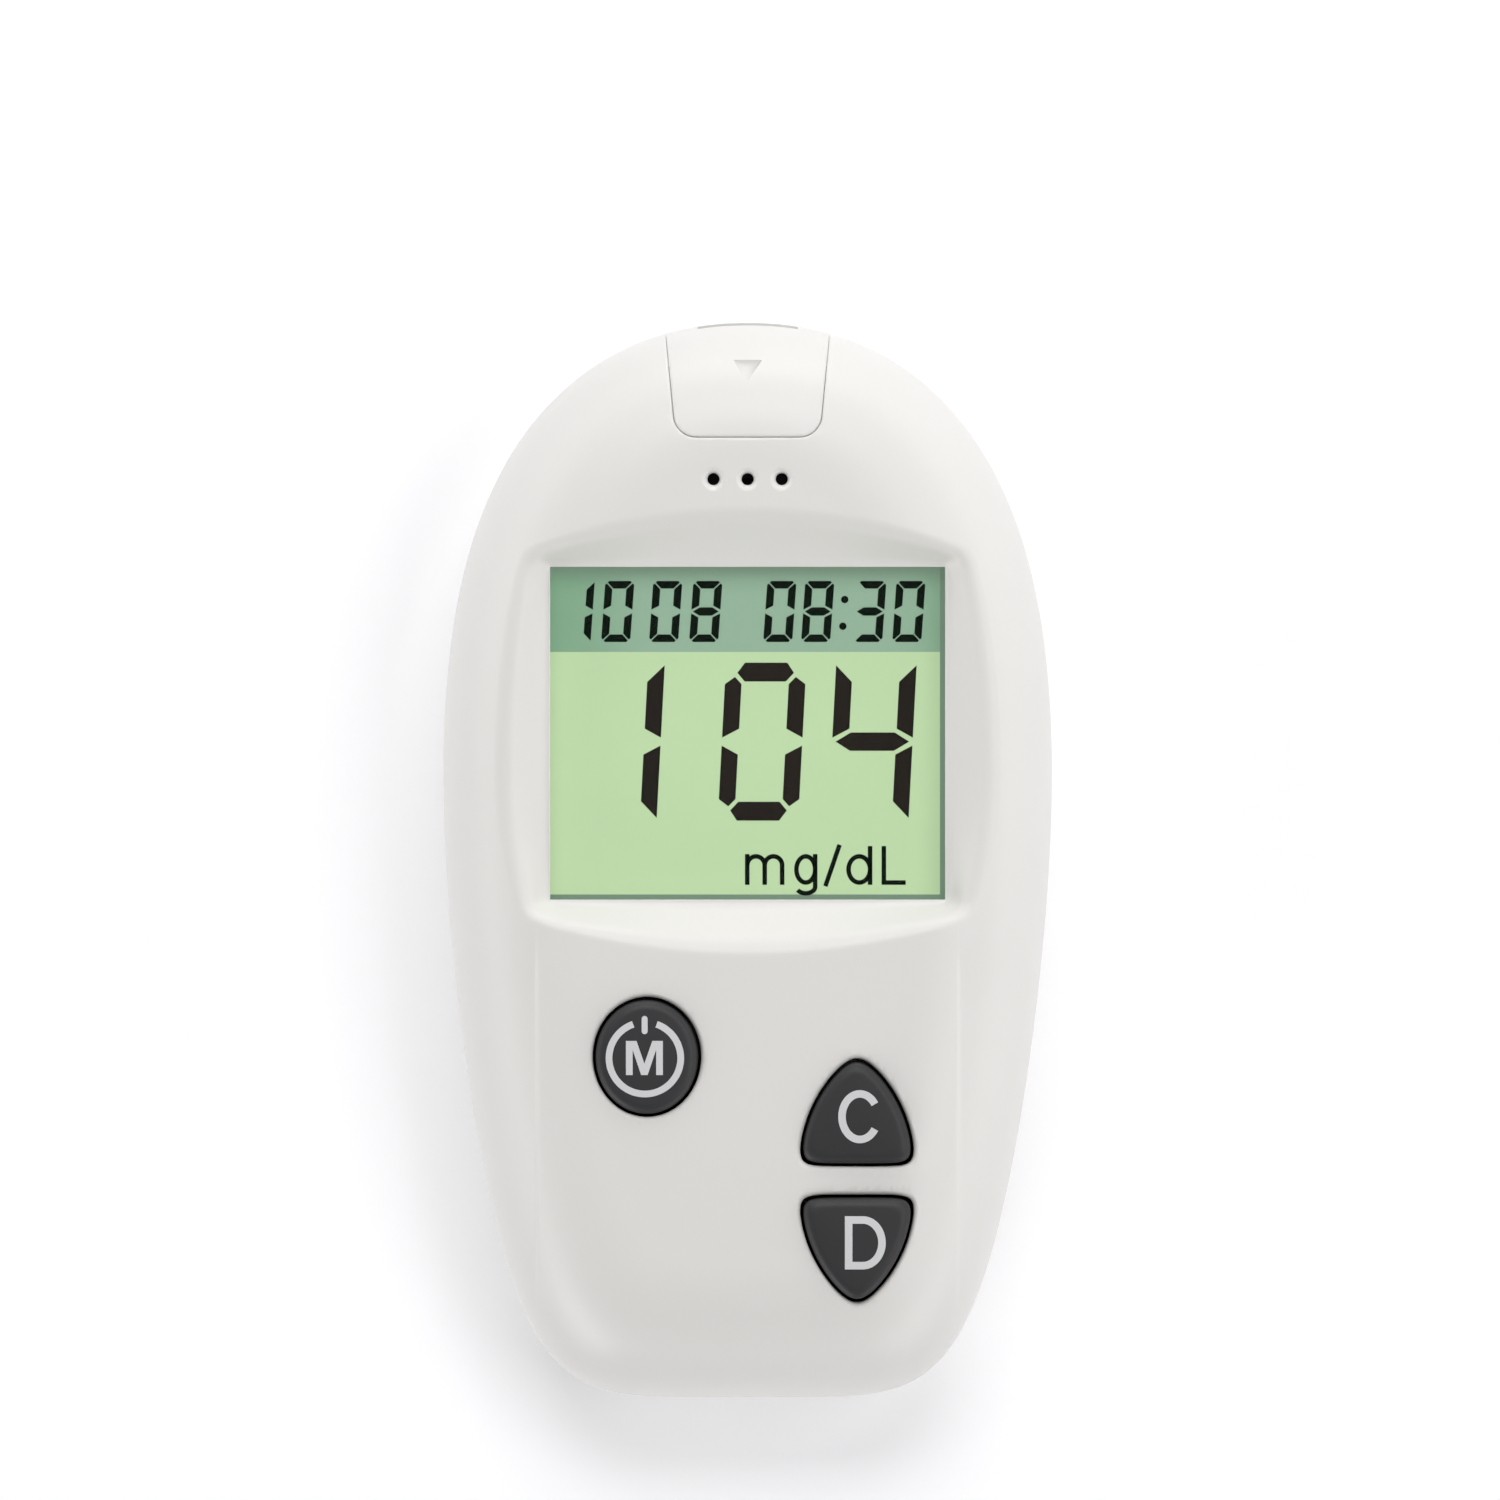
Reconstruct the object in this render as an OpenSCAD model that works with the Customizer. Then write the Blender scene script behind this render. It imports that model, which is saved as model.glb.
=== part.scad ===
// Blood glucose meter, lying on its back with the display up.
// X runs across the case, Y from the bottom end to the strip port end, Z up out of the display.
// The origin is on the flat back, under the middle of the case.

/* [Case] */
// Length of the case, bottom end to strip port end
case_length = 90; // [88:1:96]
// Width of the case where it is widest
case_width = 51; // [50:1:56]
// Height of the front face above the table
case_height = 18.5; // [18:0.5:20.5]
// Height of the line where the two covers meet
parting_height = 8; // [7.5:0.5:8.5]
// Thickness of the walls of both covers
wall = 1.8; // [1.6:0.1:2]
// How far in from the rim the front face starts to curve down
front_edge = 12; // [10:1:13]
// How far in from the rim the flat back starts to curve up
back_edge = 8; // [7:1:9]
// How much the middle of the front face is crowned
crown = 0.25; // [0.1:0.05:0.4]
// Width of the shadow groove along the parting line
groove = 0.25; // [0.15:0.05:0.35]
// Height of the lip that centres one cover in the other
lip_height = 0.8; // [0.6:0.1:0.9]

/* [Case outline] */
// How much the case widens towards the strip port end
outline_taper = 0.384; // [0.35:0.01:0.42]
// How much the outline swells towards both ends
outline_swell = 0.141; // [0.1:0.01:0.18]
// Roundness of the strip port end, where 0.5 is a full curve
top_round = 0.471; // [0.44:0.01:0.5]
// Roundness of the bottom end, where small is blunt
bottom_round = 0.184; // [0.17:0.01:0.2]

/* [Display] */
// Width of the display window
window_width = 33; // [32:0.5:33.5]
// Height of the display window along the case
window_length = 27.8; // [27:0.2:28.4]
// Distance of the window's middle from the strip port end
window_from_end = 34.4; // [34:0.2:35]
// Depth of the dished recess below the front face
recess_depth = 3.1; // [2.6:0.1:3.3]
// Half the width of the recess at its rim
recess_half_width = 20.3; // [19.8:0.1:20.6]
// Width of the recess's slope above the window
recess_above = 4.2; // [3.8:0.1:4.5]
// Width of the recess's slope below the window
recess_below = 3.9; // [3.6:0.1:4.2]
// Flat ledge round the window at the foot of the recess
recess_ledge = 0.4; // [0.3:0.1:0.6]
// Thickness of the case round the window
window_flange = 1.2; // [1:0.1:1.3]
// Thickness of the clear lens
lens_thickness = 1; // [0.8:0.1:1]
// How far the lens reaches past the window, under the case
lens_overlap = 1.5; // [1.2:0.1:1.6]
// Thickness of one glass plate of the display cell
glass_plate = 0.9; // [0.7:0.1:1]
// Thickness of the films on the display cell
film_thickness = 0.2; // [0.15:0.05:0.25]
// Width of the contact ledge at each end of the display cell
cell_ledge = 1.6; // [1.5:0.1:1.8]

/* [Keys] */
// Half width and half length of the oval key's hole
oval_half = [4.52, 5];
// Distance of the oval key's middle from the case's middle, to the left
oval_aside = 8.4; // [8:0.1:8.6]
// Distance of the oval key's middle below the recess
oval_below = 9.2; // [8.7:0.1:10]
// Distance of the triangular keys' middle from the case's middle, to the right
arrows_aside = 9.12; // [9:0.02:9.2]
// Distance between the middles of the triangular keys
arrows_pitch = 11.34; // [11.2:0.02:11.6]
// Share of the face's free length, below the recess, that lies above the triangular keys
arrows_share = 0.535; // [0.5:0.005:0.6]
// Slope of a triangular key's sides from upright
key_lean = 33; // [32.5:0.5:34]
// Reach of a triangular key's base from its middle
key_base_reach = 4.49; // [4.4:0.01:4.6]
// Reach of a triangular key's sides from its middle
key_side_reach = 3.55; // [3.5:0.01:3.6]
// How fast a triangular key's sides curve in from their middle
key_side_bow = 0.044; // [0.03:0.002:0.05]
// Sharpness of a triangular key's corners
key_corner = 1.5; // [1.3:0.1:1.7]
// Gap between a key and its hole
key_gap = 0.25; // [0.2:0.01:0.3]
// How far a key stands out of the front face
key_proud = 0.6; // [0.4:0.1:1]
// How far a key can be pressed
key_travel = 0.9; // [0.7:0.1:0.9]
// Width of the rounded edge of a key
key_round = 0.9; // [0.6:0.1:1.1]
// Thickness of the silicone mat
mat_thickness = 1; // [0.8:0.1:1.1]
// Diameter of the carbon pill under each key
pill_diameter = 4; // [3.4:0.1:4.2]
// Thickness of the carbon pill
pill_thickness = 0.6; // [0.5:0.05:0.7]

/* [Sound holes] */
// Diameter of a sound hole
sound_hole = 1; // [0.8:0.1:1.3]
// Spacing of the sound holes
sound_pitch = 2.85; // [2.4:0.05:3.1]
// Distance of the row of sound holes from the strip port end
sound_from_end = 13.2; // [13:0.1:13.6]
// Side of the square buzzer
buzzer_side = 8; // [7.5:0.1:8]
// Height of the buzzer
buzzer_height = 3; // [2.5:0.1:3.6]

/* [Strip port] */
// Half the width of the port cover at its inner end
port_inner_half = 6.1; // [6:0.1:6.2]
// Half the width of the port cover at the strip port end
port_outer_half = 6.95; // [6.8:0.05:7]
// Distance of the cover's inner end from the end of the case
port_length = 9.6; // [9.3:0.1:9.8]
// Corner radius at the cover's inner end
port_corner = 1.8; // [1.4:0.1:2]
// Gap round the port cover
port_gap = 0.12; // [0.1:0.01:0.2]
// Width of the opening that a test strip goes in by
strip_width = 7.2; // [6.6:0.1:7.4]
// Height of that opening in the strip socket
strip_height = 0.9; // [0.7:0.1:0.9]
// Depth of the recessed arrow on the port cover
arrow_depth = 0.4; // [0.2:0.1:0.5]

/* [Board] */
// Thickness of the circuit board
board_thickness = 1.2; // [1:0.1:1.2]
// Gap between the board's edge and the inside of the case
board_gap = 0.8; // [0.6:0.1:1.2]

/* [Battery] */
// Diameter of the coin cell
coin_diameter = 20; // [19.5:0.1:20]
// Thickness of the coin cell
coin_thickness = 3.2; // [3:0.05:3.2]
// Distance of the coin cell's middle from the bottom end
coin_from_end = 25.5; // [25:0.1:26]
// Half the width of the battery door
door_half = 12.2; // [12.1:0.05:12.4]
// Length of the battery door
door_length = 38.5; // [38:0.1:38.8]
// Gap round the battery door
door_gap = 0.15; // [0.1:0.01:0.2]

/* [Screws] */
// Diameter of a case screw's shank
screw_diameter = 2; // [1.8:0.1:2.2]
// Diameter of a case screw's head
screw_head = 3.8; // [3.4:0.1:4]
// Height of a case screw's head
screw_head_height = 1.4; // [1.2:0.1:1.4]
// Diameter of the bosses that take the screws
boss_diameter = 5.8; // [5.6:0.1:6]

/* [Hidden] */

white = "#e9e8e6";
key_grey = "#3f3f41";
lcd_green = "#b9d5a6";
board_green = "#1f6b43";
gold = "#d2a94a";
steel = "#b9bcc0";
dark_plastic = "#26272b";

// Small lengths used all through
fit = 0.05;       // between pieces that are held together
slack = 0.1;      // between pieces that slide on each other
cut = 1;          // how far a cutter runs past what it cuts
rim_points = 84;  // points round the case
key_points = 60;  // points round a key
window_steps = 14; // points along each side of the window
halvings = 22;    // steps of each search by halving

half_l = case_length / 2;
half_w = case_width / 2;
rim_from = -0.28 * half_l;

// ---------- outline and surfaces of the case ----------

// Relative half width at t, which is -1 at the bottom end and 1 at the strip port end
function side(t) =
    (1 + outline_taper * t + outline_swell * t * t) * pow(1 - t, top_round) * pow(1 + t, bottom_round);
widest = max([for (t = [-0.3 : 0.02 : 0.6]) side(t)]);
function half_width(y) = abs(y) >= half_l ? 0 : half_w * side(y / half_l) / widest;

// Distance to the outline from a point nearer the blunt end, whose corners then get more points
function rim_reach(angle, low = 0, high = case_length, n = halvings) =
    let (r = (low + high) / 2)
    n == 0 ? r
    : abs(r * cos(angle)) < half_width(rim_from + r * sin(angle)) ? rim_reach(angle, r, high, n - 1)
    : rim_reach(angle, low, r, n - 1);
rim = [for (i = [0 : rim_points - 1])
    let (angle = 360 * (i + 0.5) / rim_points, r = rim_reach(angle)) [r * cos(angle), rim_from + r * sin(angle)]];

// The outline drawn in by an inset on its sides and its ends
function inset_x(inset) = (half_w - inset) / half_w;
function inset_y(inset) = (half_l - inset) / half_l;
function ring(inset, z) = [for (p = rim) [p.x * inset_x(inset), p.y * inset_y(inset), z]];
function flat_ring(inset) = [for (p = ring(inset, 0)) [p.x, p.y]];

// Rounded edge: 0 at the rim, 1 where the face is flat
function edge_rise(u) = pow(1 - pow(1 - min(u, 1), 2.4), 0.5);
front_rise = case_height - parting_height - crown;
function crown_at(inset) =
    inset <= front_edge ? 0 : crown * (1 - pow((half_w - inset) / (half_w - front_edge), 2));
function front_z(inset) = parting_height + front_rise * edge_rise(inset / front_edge) + crown_at(inset);
function front_inner_z(inset) =
    parting_height + (front_rise - wall) * edge_rise((inset - wall) / front_edge) + crown_at(inset - wall);
function back_z(inset) = parting_height * (1 - edge_rise(inset / back_edge));
function back_inner_z(inset) =
    parting_height - (parting_height - wall) * edge_rise((inset - wall) / back_edge);

// Inset of the point [x, y], and the height of the front face over it
function inset_at(x, y, low = 0, high = half_w - 0.3, n = halvings) =
    let (inset = (low + high) / 2)
    n == 0 ? inset
    : abs(x) / inset_x(inset) < half_width(y / inset_y(inset)) ? inset_at(x, y, inset, high, n - 1)
    : inset_at(x, y, low, inset, n - 1);
function front_height(x, y) = front_z(inset_at(x, y));

// ---------- lofts ----------

function middle(points) = [for (k = [0 : 2]) [for (p = points) p[k]] * [for (p = points) 1] / len(points)];

// Faces of the strip between ring i and ring k of n points each
function strip(i, k, n) = [for (j = [0 : n - 1])
    let (a = i * n + j, b = i * n + (j + 1) % n, c = k * n + j, d = k * n + (j + 1) % n)
    each [[a, c, d], [a, d, b]]];

// Closed skin through rings of points, each ring counterclockwise seen from above
module loft(rings) {
    n = len(rings[0]);
    last = len(rings) - 1;
    first_middle = n * (last + 1);
    sides = [for (i = [0 : last - 1]) each strip(i, i + 1, n)];
    bottom = [for (j = [0 : n - 1]) [first_middle, j, (j + 1) % n]];
    top = [for (j = [0 : n - 1]) [first_middle + 1, last * n + (j + 1) % n, last * n + j]];
    polyhedron(
        points = concat([for (r = rings) each r], [middle(rings[0]), middle(rings[last])]),
        faces = concat(sides, bottom, top));
}

// The same through rings that run down the inside and up the outside, so that the middle stays open
module open_loft(rings) {
    n = len(rings[0]);
    last = len(rings) - 1;
    polyhedron(
        points = [for (r = rings) each r],
        faces = [for (i = [0 : last]) each strip(i, (i + 1) % (last + 1), n)]);
}

function at_height(points, z) = [for (p = points) [p.x, p.y, z]];

module slab(width, depth, height) {
    translate([-width / 2, -depth / 2, 0]) cube([width, depth, height]);
}

// Wall across X that stands on a level foot and ends half way into the front face's wall
module rib_under_face(x, thickness, near, far, foot) {
    steps = 4;
    outer_x = x + thickness;
    roof = [for (i = [steps : -1 : 0])
        let (y = near + (far - near) * i / steps) [y, front_height(outer_x, y) - wall * 0.6]];
    translate([x, 0, 0]) rotate([90, 0, 90]) linear_extrude(thickness)
        polygon(concat([[near, foot], [far, foot]], roof));
}

// The same pieces on both sides of the case's middle plane
module both_sides() {
    children();
    mirror([1, 0, 0]) children();
}

// ---------- places ----------

window_y = half_l - window_from_end;
recess_top_y = window_y + window_length / 2 + recess_above;
recess_bottom_y = window_y - window_length / 2 - recess_below;
sound_y = half_l - sound_from_end;
coin_y = coin_from_end - half_l;
door_y = door_length - half_l;

// The triangular keys are a pair whose points are turned away from each other
key_reach = [triangle_reach(90, 0), triangle_reach(270, 0)];
arrows_length = 2 * key_reach[0] + arrows_pitch;
face_spare = half_l + recess_bottom_y - arrows_length;
oval_at = [-oval_aside, recess_bottom_y - oval_below];
up_at = [arrows_aside, recess_bottom_y - arrows_share * face_spare - key_reach[0]];
down_at = [arrows_aside, up_at.y - arrows_pitch];

window_z = case_height - recess_depth;
flange_z = window_z - window_flange;
lens_z = flange_z - lens_thickness;
cell_top = lens_z - 0.2;
glass_top = cell_top - film_thickness;
glass_middle = glass_top - glass_plate;
glass_bottom = glass_middle - glass_plate;
cell_width = window_width + 2;
cell_length = window_length + 1.8;

board_bottom = parting_height - 1;
board_top = board_bottom + board_thickness;
mat_top = board_top + mat_thickness;
key_top = case_height + key_proud;
pad_thickness = 0.05;
pill_gap = key_travel + 0.15;
key_foot = board_top + pad_thickness + pill_gap + pill_thickness;
stem_inset = 1.5;
cap_depth = 3.9;

port_y = half_l - port_length;
slot_bottom = board_top + 0.85;
slot_top = slot_bottom + strip_height + 0.3;
rail_floor = slot_top + 1.05;
rail_height = 0.8;
tongue_half = port_inner_half + 0.3;
tongue_z = rail_floor + rail_height + slack;
tongue_thickness = 1;
socket_half = strip_width / 2 + 2;
socket_end = half_l - wall - board_gap - 0.9;
socket_length = 5.7;
socket_height = strip_height + 1.9;

top_screw = [half_width(half_l - 13) - 7.1, half_l - 13];
mid_y = recess_bottom_y - 1.7;
mid_screw = [half_width(mid_y) - 7.1, mid_y];
screw_places = [top_screw, mid_screw];
head_seat = 1.95;
screw_hole = screw_diameter / 2 + 0.1;

door_low = 0.9;       // lowest part of the door's rails and ribs
tongue_low = wall + 0.2;
tongue_high = tongue_low + 0.8;
rail_reach = door_half + 1.1;
door_rib = door_half - 0.8;
door_end = -half_l + 6;
coin_low = wall + 0.95;
coin_high = coin_low + coin_thickness;
coin_r = coin_diameter / 2;
holder_in = coin_r + 0.15;
holder_out = holder_in + 0.95;

// ---------- key outlines ----------

// How far a point lies outside the bowed right side of a triangular key
function past_side(x, y) =
    cos(key_lean) * x + sin(key_lean) * y - key_side_reach
    + key_side_bow * pow(cos(key_lean) * y - sin(key_lean) * x, 2);
// A triangle with softened corners: the point is inside while the three sides' terms sum to under 1
function in_triangle(x, y, inset) =
    exp(key_corner * (-y - key_base_reach + inset))
    + exp(key_corner * (past_side(x, y) + inset))
    + exp(key_corner * (past_side(-x, y) + inset)) < 1;
function triangle_reach(angle, inset, low = 0, high = 8, n = halvings) =
    let (r = (low + high) / 2)
    n == 0 ? r
    : in_triangle(r * cos(angle), r * sin(angle), inset) ? triangle_reach(angle, inset, r, high, n - 1)
    : triangle_reach(angle, inset, low, r, n - 1);

// Outline of a key's hole drawn in by an inset. The point is "oval", "up" or "down".
function key_outline(kind, inset) =
    [for (i = [0 : key_points - 1])
        let (angle = 360 * i / key_points)
        kind == "oval" ? [(oval_half.x - inset) * cos(angle), (oval_half.y - inset) * sin(angle)]
        : let (r = triangle_reach(kind == "up" ? angle : angle + 180, inset)) [r * cos(angle), r * sin(angle)]];
function key_ring(kind, inset, z) = [for (p = key_outline(kind, inset)) [p.x, p.y, z]];

module key_prism(kind, inset, low, high) {
    translate([0, 0, low]) linear_extrude(high - low) polygon(key_outline(kind, inset));
}

// ---------- display recess ----------

function window_points(grow) =
    let (w = window_width / 2 + grow, l = window_length / 2 + grow, n = window_steps)
    concat(
        [for (i = [0 : n - 1]) [w, -l + 2 * l * i / n]],
        [for (i = [0 : n - 1]) [w - 2 * w * i / n, l]],
        [for (i = [0 : n - 1]) [-w, l - 2 * l * i / n]],
        [for (i = [0 : n - 1]) [-w + 2 * w * i / n, -l]]);

// The rim of the recess is made of four shallow arcs that run into each other
recess_blend = 2.4;
recess_wide_y = 7.5;
function recess_side(y) = y > recess_wide_y
    ? recess_half_width - 2 * pow((y - recess_wide_y) / 17.8, 2)
    : recess_half_width - 1.9 * pow((recess_wide_y - y) / 11.4, 2);
function in_recess(x, y) =
    exp(recess_blend * (y - recess_top_y + x * x / 102))
    + exp(recess_blend * (recess_bottom_y + x * x / 118 - y))
    + exp(recess_blend * (abs(x) - recess_side(y))) < 1;
function recess_reach(direction, low = 0, high = 2, n = halvings) =
    let (r = (low + high) / 2)
    n == 0 ? r
    : in_recess(r * direction.x, window_y + r * direction.y) ? recess_reach(direction, r, high, n - 1)
    : recess_reach(direction, low, r, n - 1);
recess_rim = [for (p = window_points(recess_ledge)) let (r = recess_reach(p)) [p.x * r, window_y + p.y * r]];

function recess_foot(grow, z) = [for (p = window_points(grow)) [p.x, p.y + window_y, z]];
// Ring on the way from the foot of the recess, at 0, to its rim, at 1, and on past it
function recess_ring(part) =
    let (foot = recess_foot(recess_ledge, window_z))
    [for (i = [0 : len(foot) - 1])
        let (edge = [recess_rim[i].x, recess_rim[i].y, front_height(recess_rim[i].x, recess_rim[i].y)])
        foot[i] + (edge - foot[i]) * part];
dish_wall = 1.3;
function dish_top() =
    [for (p = recess_rim)
        let (out = p - [0, window_y], q = p + out * dish_wall / norm(out))
        [q.x, q.y, front_height(q.x, q.y) - wall / 2]];

// ---------- covers ----------

outer_insets = [0.06, 0.3, 0.9, 1.8, 3, 4.6, 6.5, 9, 12, 17, 23];
inner_insets = [0.1, 0.7, 1.8, 3.6, 6.5, 11, 19];

module front_shell() {
    inner = [for (i = [len(inner_insets) - 1 : -1 : 0])
        let (inset = wall + inner_insets[i] * front_edge / 12)
        ring(inset, max(front_inner_z(inset), parting_height + lip_height + 0.15))];
    outer = [for (inset = outer_insets) ring(inset, front_z(inset))];
    lip_inset = wall / 2 - fit;
    joint = [
        ring(wall, parting_height + lip_height + 0.15),
        ring(lip_inset, parting_height + lip_height + 0.15),
        ring(lip_inset, parting_height),
        ring(groove, parting_height),
        ring(0, parting_height + groove)
    ];
    loft(concat(inner, joint, outer));
}

module back_shell(lip) {
    outer = [for (i = [7 : -1 : 0])
        let (inset = outer_insets[i] * back_edge / 9) ring(inset, back_z(inset))];
    inner = [for (i = [0 : 5])
        let (inset = wall + inner_insets[i] * back_edge / 11) ring(inset, back_inner_z(inset))];
    joint = [
        ring(0, parting_height - groove),
        ring(groove, parting_height),
        ring(wall / 2, parting_height),
        ring(wall / 2, parting_height + (lip ? lip_height : 0)),
        ring(wall, parting_height + (lip ? lip_height : 0))
    ];
    flat_joint = [joint[0], joint[1], ring(wall, parting_height)];
    loft(concat(outer, lip ? joint : flat_joint, inner));
}

// Outline of the strip port cover from above, grown by a gap
function port_outline(grow) =
    let (inner = port_inner_half + grow, outer = port_outer_half + grow, low = port_y - grow,
        r = port_corner + grow, far = half_l + cut)
    concat(
        [[outer, far], [-outer, far]],
        [for (a = [180 : 18 : 270]) [-inner + r + r * cos(a), low + r + r * sin(a)]],
        [for (a = [270 : 18 : 360]) [inner - r + r * cos(a), low + r + r * sin(a)]]);

module port_prism(grow, low) {
    translate([0, 0, low]) linear_extrude(case_height - low + cut) polygon(port_outline(grow));
}

// Channel under the front face that the port cover's tongue slides in
module port_channel() {
    channel_in = port_outer_half + port_gap + 0.05;
    channel_out = channel_in + 1.2;
    channel_near = port_y - 1.2;
    channel_length = port_length - 2.2;
    both_sides() {
        rib_under_face(channel_in, channel_out - channel_in, channel_near, channel_near + channel_length, rail_floor);
        translate([socket_half, channel_near, rail_floor])
            cube([channel_out - socket_half, channel_length, rail_height]);
    }
}

// Height that a boss can reach and stay under the face where the face is lowest over it
function boss_roof(place) =
    let (out = place * (1 + (boss_diameter / 2 + 0.3) / norm(place))) front_height(out.x, out.y) - 0.5;

// Wall round a key's hole, ending in the face's wall where the face is lowest over it
module key_collar(place, kind) {
    collar = 1.2;
    foot = case_height - 2 * wall;
    low_point = front_height(place.x, place.y - key_reach[0] - collar);
    top = min(case_height - wall + 0.1, low_point - 0.25);
    translate(place) key_prism(kind, -collar, foot, top);
}

module at_screws() {
    for (place = screw_places) both_sides() translate(place) children();
}

module front_cover() {
    color(white) difference() {
        union() {
            front_shell();
            loft([recess_foot(recess_ledge + 1.6, flange_z), dish_top()]);
            for (place = screw_places) both_sides()
                translate([place.x, place.y, board_top + fit])
                    cylinder(d = boss_diameter, h = boss_roof(place) - board_top - fit, $fn = 48);
            key_collar(oval_at, "oval");
            key_collar(up_at, "up");
            key_collar(down_at, "down");
            port_channel();
        }
        loft(concat(
            [for (part = [0 : 0.25 : 1.25]) recess_ring(part)],
            [at_height(recess_ring(1.25), case_height + cut)]));
        translate([0, window_y, flange_z - cut]) slab(window_width, window_length, window_flange + 2 * cut);
        translate(oval_at) key_prism("oval", 0, case_height - wall - 4, case_height + cut);
        translate(up_at) key_prism("up", 0, case_height - wall - 4, case_height + cut);
        translate(down_at) key_prism("down", 0, case_height - wall - 4, case_height + cut);
        for (i = [-1 : 1]) translate([i * sound_pitch, sound_y, case_height - wall - cut])
            cylinder(d = sound_hole, h = wall + 2 * cut, $fn = 24);
        for (place = screw_places) both_sides()
            translate([place.x, place.y, board_top - cut])
                cylinder(d = screw_diameter + fit, h = 6 + cut, $fn = 32);
        port_prism(port_gap, slot_top);
        translate([0, half_l - wall, slot_bottom]) slab(strip_width + 1.2, 4 * wall, slot_top - slot_bottom + fit);
    }
}

module back_cover() {
    opening = door_half + door_gap;
    color(white) difference() {
        union() {
            difference() {
                back_shell(true);
                translate([0, door_y + door_gap - half_l, -cut])
                    slab(2 * opening, case_length, parting_height + 3 * cut);
            }
            both_sides() translate([opening, door_end, 1])
                cube([rail_reach + 1.1 - opening, door_y - door_end, tongue_high + 0.8 - 1]);
            at_screws() translate([0, 0, wall - 0.3])
                cylinder(d = boss_diameter, h = board_bottom - fit - wall + 0.3, $fn = 48);
        }
        both_sides() translate([opening - cut, -half_l - cut, tongue_low - slack])
            cube([rail_reach + door_gap - opening + cut, half_l + cut + door_y - 1, tongue_high - tongue_low + 2 * slack]);
        at_screws() {
            translate([0, 0, -cut]) cylinder(d = screw_head + 0.6, h = head_seat + cut, $fn = 48);
            translate([0, 0, -cut]) cylinder(r = screw_hole, h = board_bottom + 2 * cut, $fn = 32);
        }
    }
}

module arrow_cut() {
    arrow_y = half_l - 3.2;
    lean = 33;
    translate([0, arrow_y, front_height(0, arrow_y)]) rotate([-lean, 0, 0])
        translate([0, 0, -arrow_depth]) linear_extrude(arrow_depth + 2 * cut)
            polygon([[-1.25, 0], [0, -2.3], [1.25, 0]]);
}

module strip_port_cover() {
    web = 0.8;
    plate_near = port_y + 0.3;
    plate_far = half_l - wall - 0.4;
    color(white) difference() {
        union() {
            intersection() {
                front_shell();
                port_prism(0, slot_top + fit);
            }
            translate([-tongue_half, plate_near, tongue_z])
                cube([2 * tongue_half, plate_far - plate_near, tongue_thickness]);
            both_sides() rib_under_face(tongue_half - 2 * web, web, plate_near + 1, plate_far - 1.5, tongue_z + fit);
        }
        arrow_cut();
    }
}

module battery_door() {
    color(white) difference() {
        union() {
            intersection() {
                back_shell(false);
                translate([0, door_y - half_l, -cut]) slab(2 * door_half, case_length, parting_height + cut - fit);
            }
            both_sides() {
                translate([door_rib, door_end, door_low])
                    cube([door_half - door_rib, door_y - 1 - door_end - 0.5, tongue_high - door_low]);
                translate([door_half - 0.4, door_end, tongue_low])
                    cube([rail_reach - door_half + 0.4, door_y - 1 - door_end - 0.5, tongue_high - tongue_low]);
                translate([4.6, coin_y - 7, door_low]) cube([0.9, 14, coin_low - slack - door_low]);
            }
            translate([0, door_y - 1, wall + slack]) slab(8, 4.4, 0.8);
            translate([0, door_y - 1.9, door_low]) slab(8, 1.6, wall - door_low + slack + 0.4);
        }
        for (i = [0 : 4]) translate([0, door_y - 4.5 - 1.6 * i, -cut]) slab(13 - 1.6 * i, 0.7, cut + 0.35);
    }
}

module case_screws() {
    tip = board_top + 4.4;
    r = screw_diameter / 2;
    seat = head_seat - fit;
    color(steel) at_screws() difference() {
        rotate_extrude($fn = 40) polygon([
            [0, seat - screw_head_height], [screw_head / 2 - 0.3, seat - screw_head_height],
            [screw_head / 2, seat - screw_head_height + 0.4], [screw_head / 2, seat],
            [r, seat], [r, tip - 0.8], [0, tip]
        ]);
        for (turn = [0, 90]) rotate(turn) translate([0, 0, seat - screw_head_height - cut]) slab(2.2, 0.5, cut + 0.8);
    }
}

// ---------- display ----------

module display_lens() {
    r = 2.5;
    w = window_width / 2 + lens_overlap - r;
    l = window_length / 2 + lens_overlap - r;
    corners = [[w, l], [-w, l], [-w, -l], [w, -l]];
    color("#dfe6df", 0.35) translate([0, window_y, lens_z]) linear_extrude(lens_thickness - fit / 2)
        polygon([for (i = [0 : 3], a = [0 : 15 : 90]) corners[i] + r * [cos(a + 90 * i), sin(a + 90 * i)]]);
}

module lcd_polarizer() {
    color(lcd_green) translate([0, window_y, glass_top])
        slab(window_width + 0.8, window_length + 0.4, film_thickness);
}

module lcd_glass() {
    color("#a9c39a") translate([0, window_y, 0]) {
        translate([0, 0, glass_middle]) slab(cell_width, cell_length, glass_plate);
        translate([0, 0, glass_bottom]) slab(cell_width, cell_length - 2 * cell_ledge, glass_plate);
    }
}

module lcd_reflector() {
    color("silver") translate([0, window_y, glass_bottom - film_thickness])
        slab(cell_width - 2, cell_length - 2 * cell_ledge - 1, film_thickness);
}

module lcd_frame() {
    frame_wall = 1.1;
    shelf = 1;
    open_width = cell_width + 4 * fit;
    open_length = cell_length + 4 * fit;
    color("white") translate([0, window_y, board_top]) {
        difference() {
            slab(open_width + 2 * frame_wall, open_length + 2 * frame_wall, glass_top - board_top);
            translate([0, 0, -cut]) slab(open_width, open_length, glass_top - board_top + 2 * cut);
        }
        both_sides() translate([open_width / 2 - shelf, -10, 0])
            cube([shelf + fit, 20, glass_bottom - board_top - fit]);
    }
}

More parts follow.
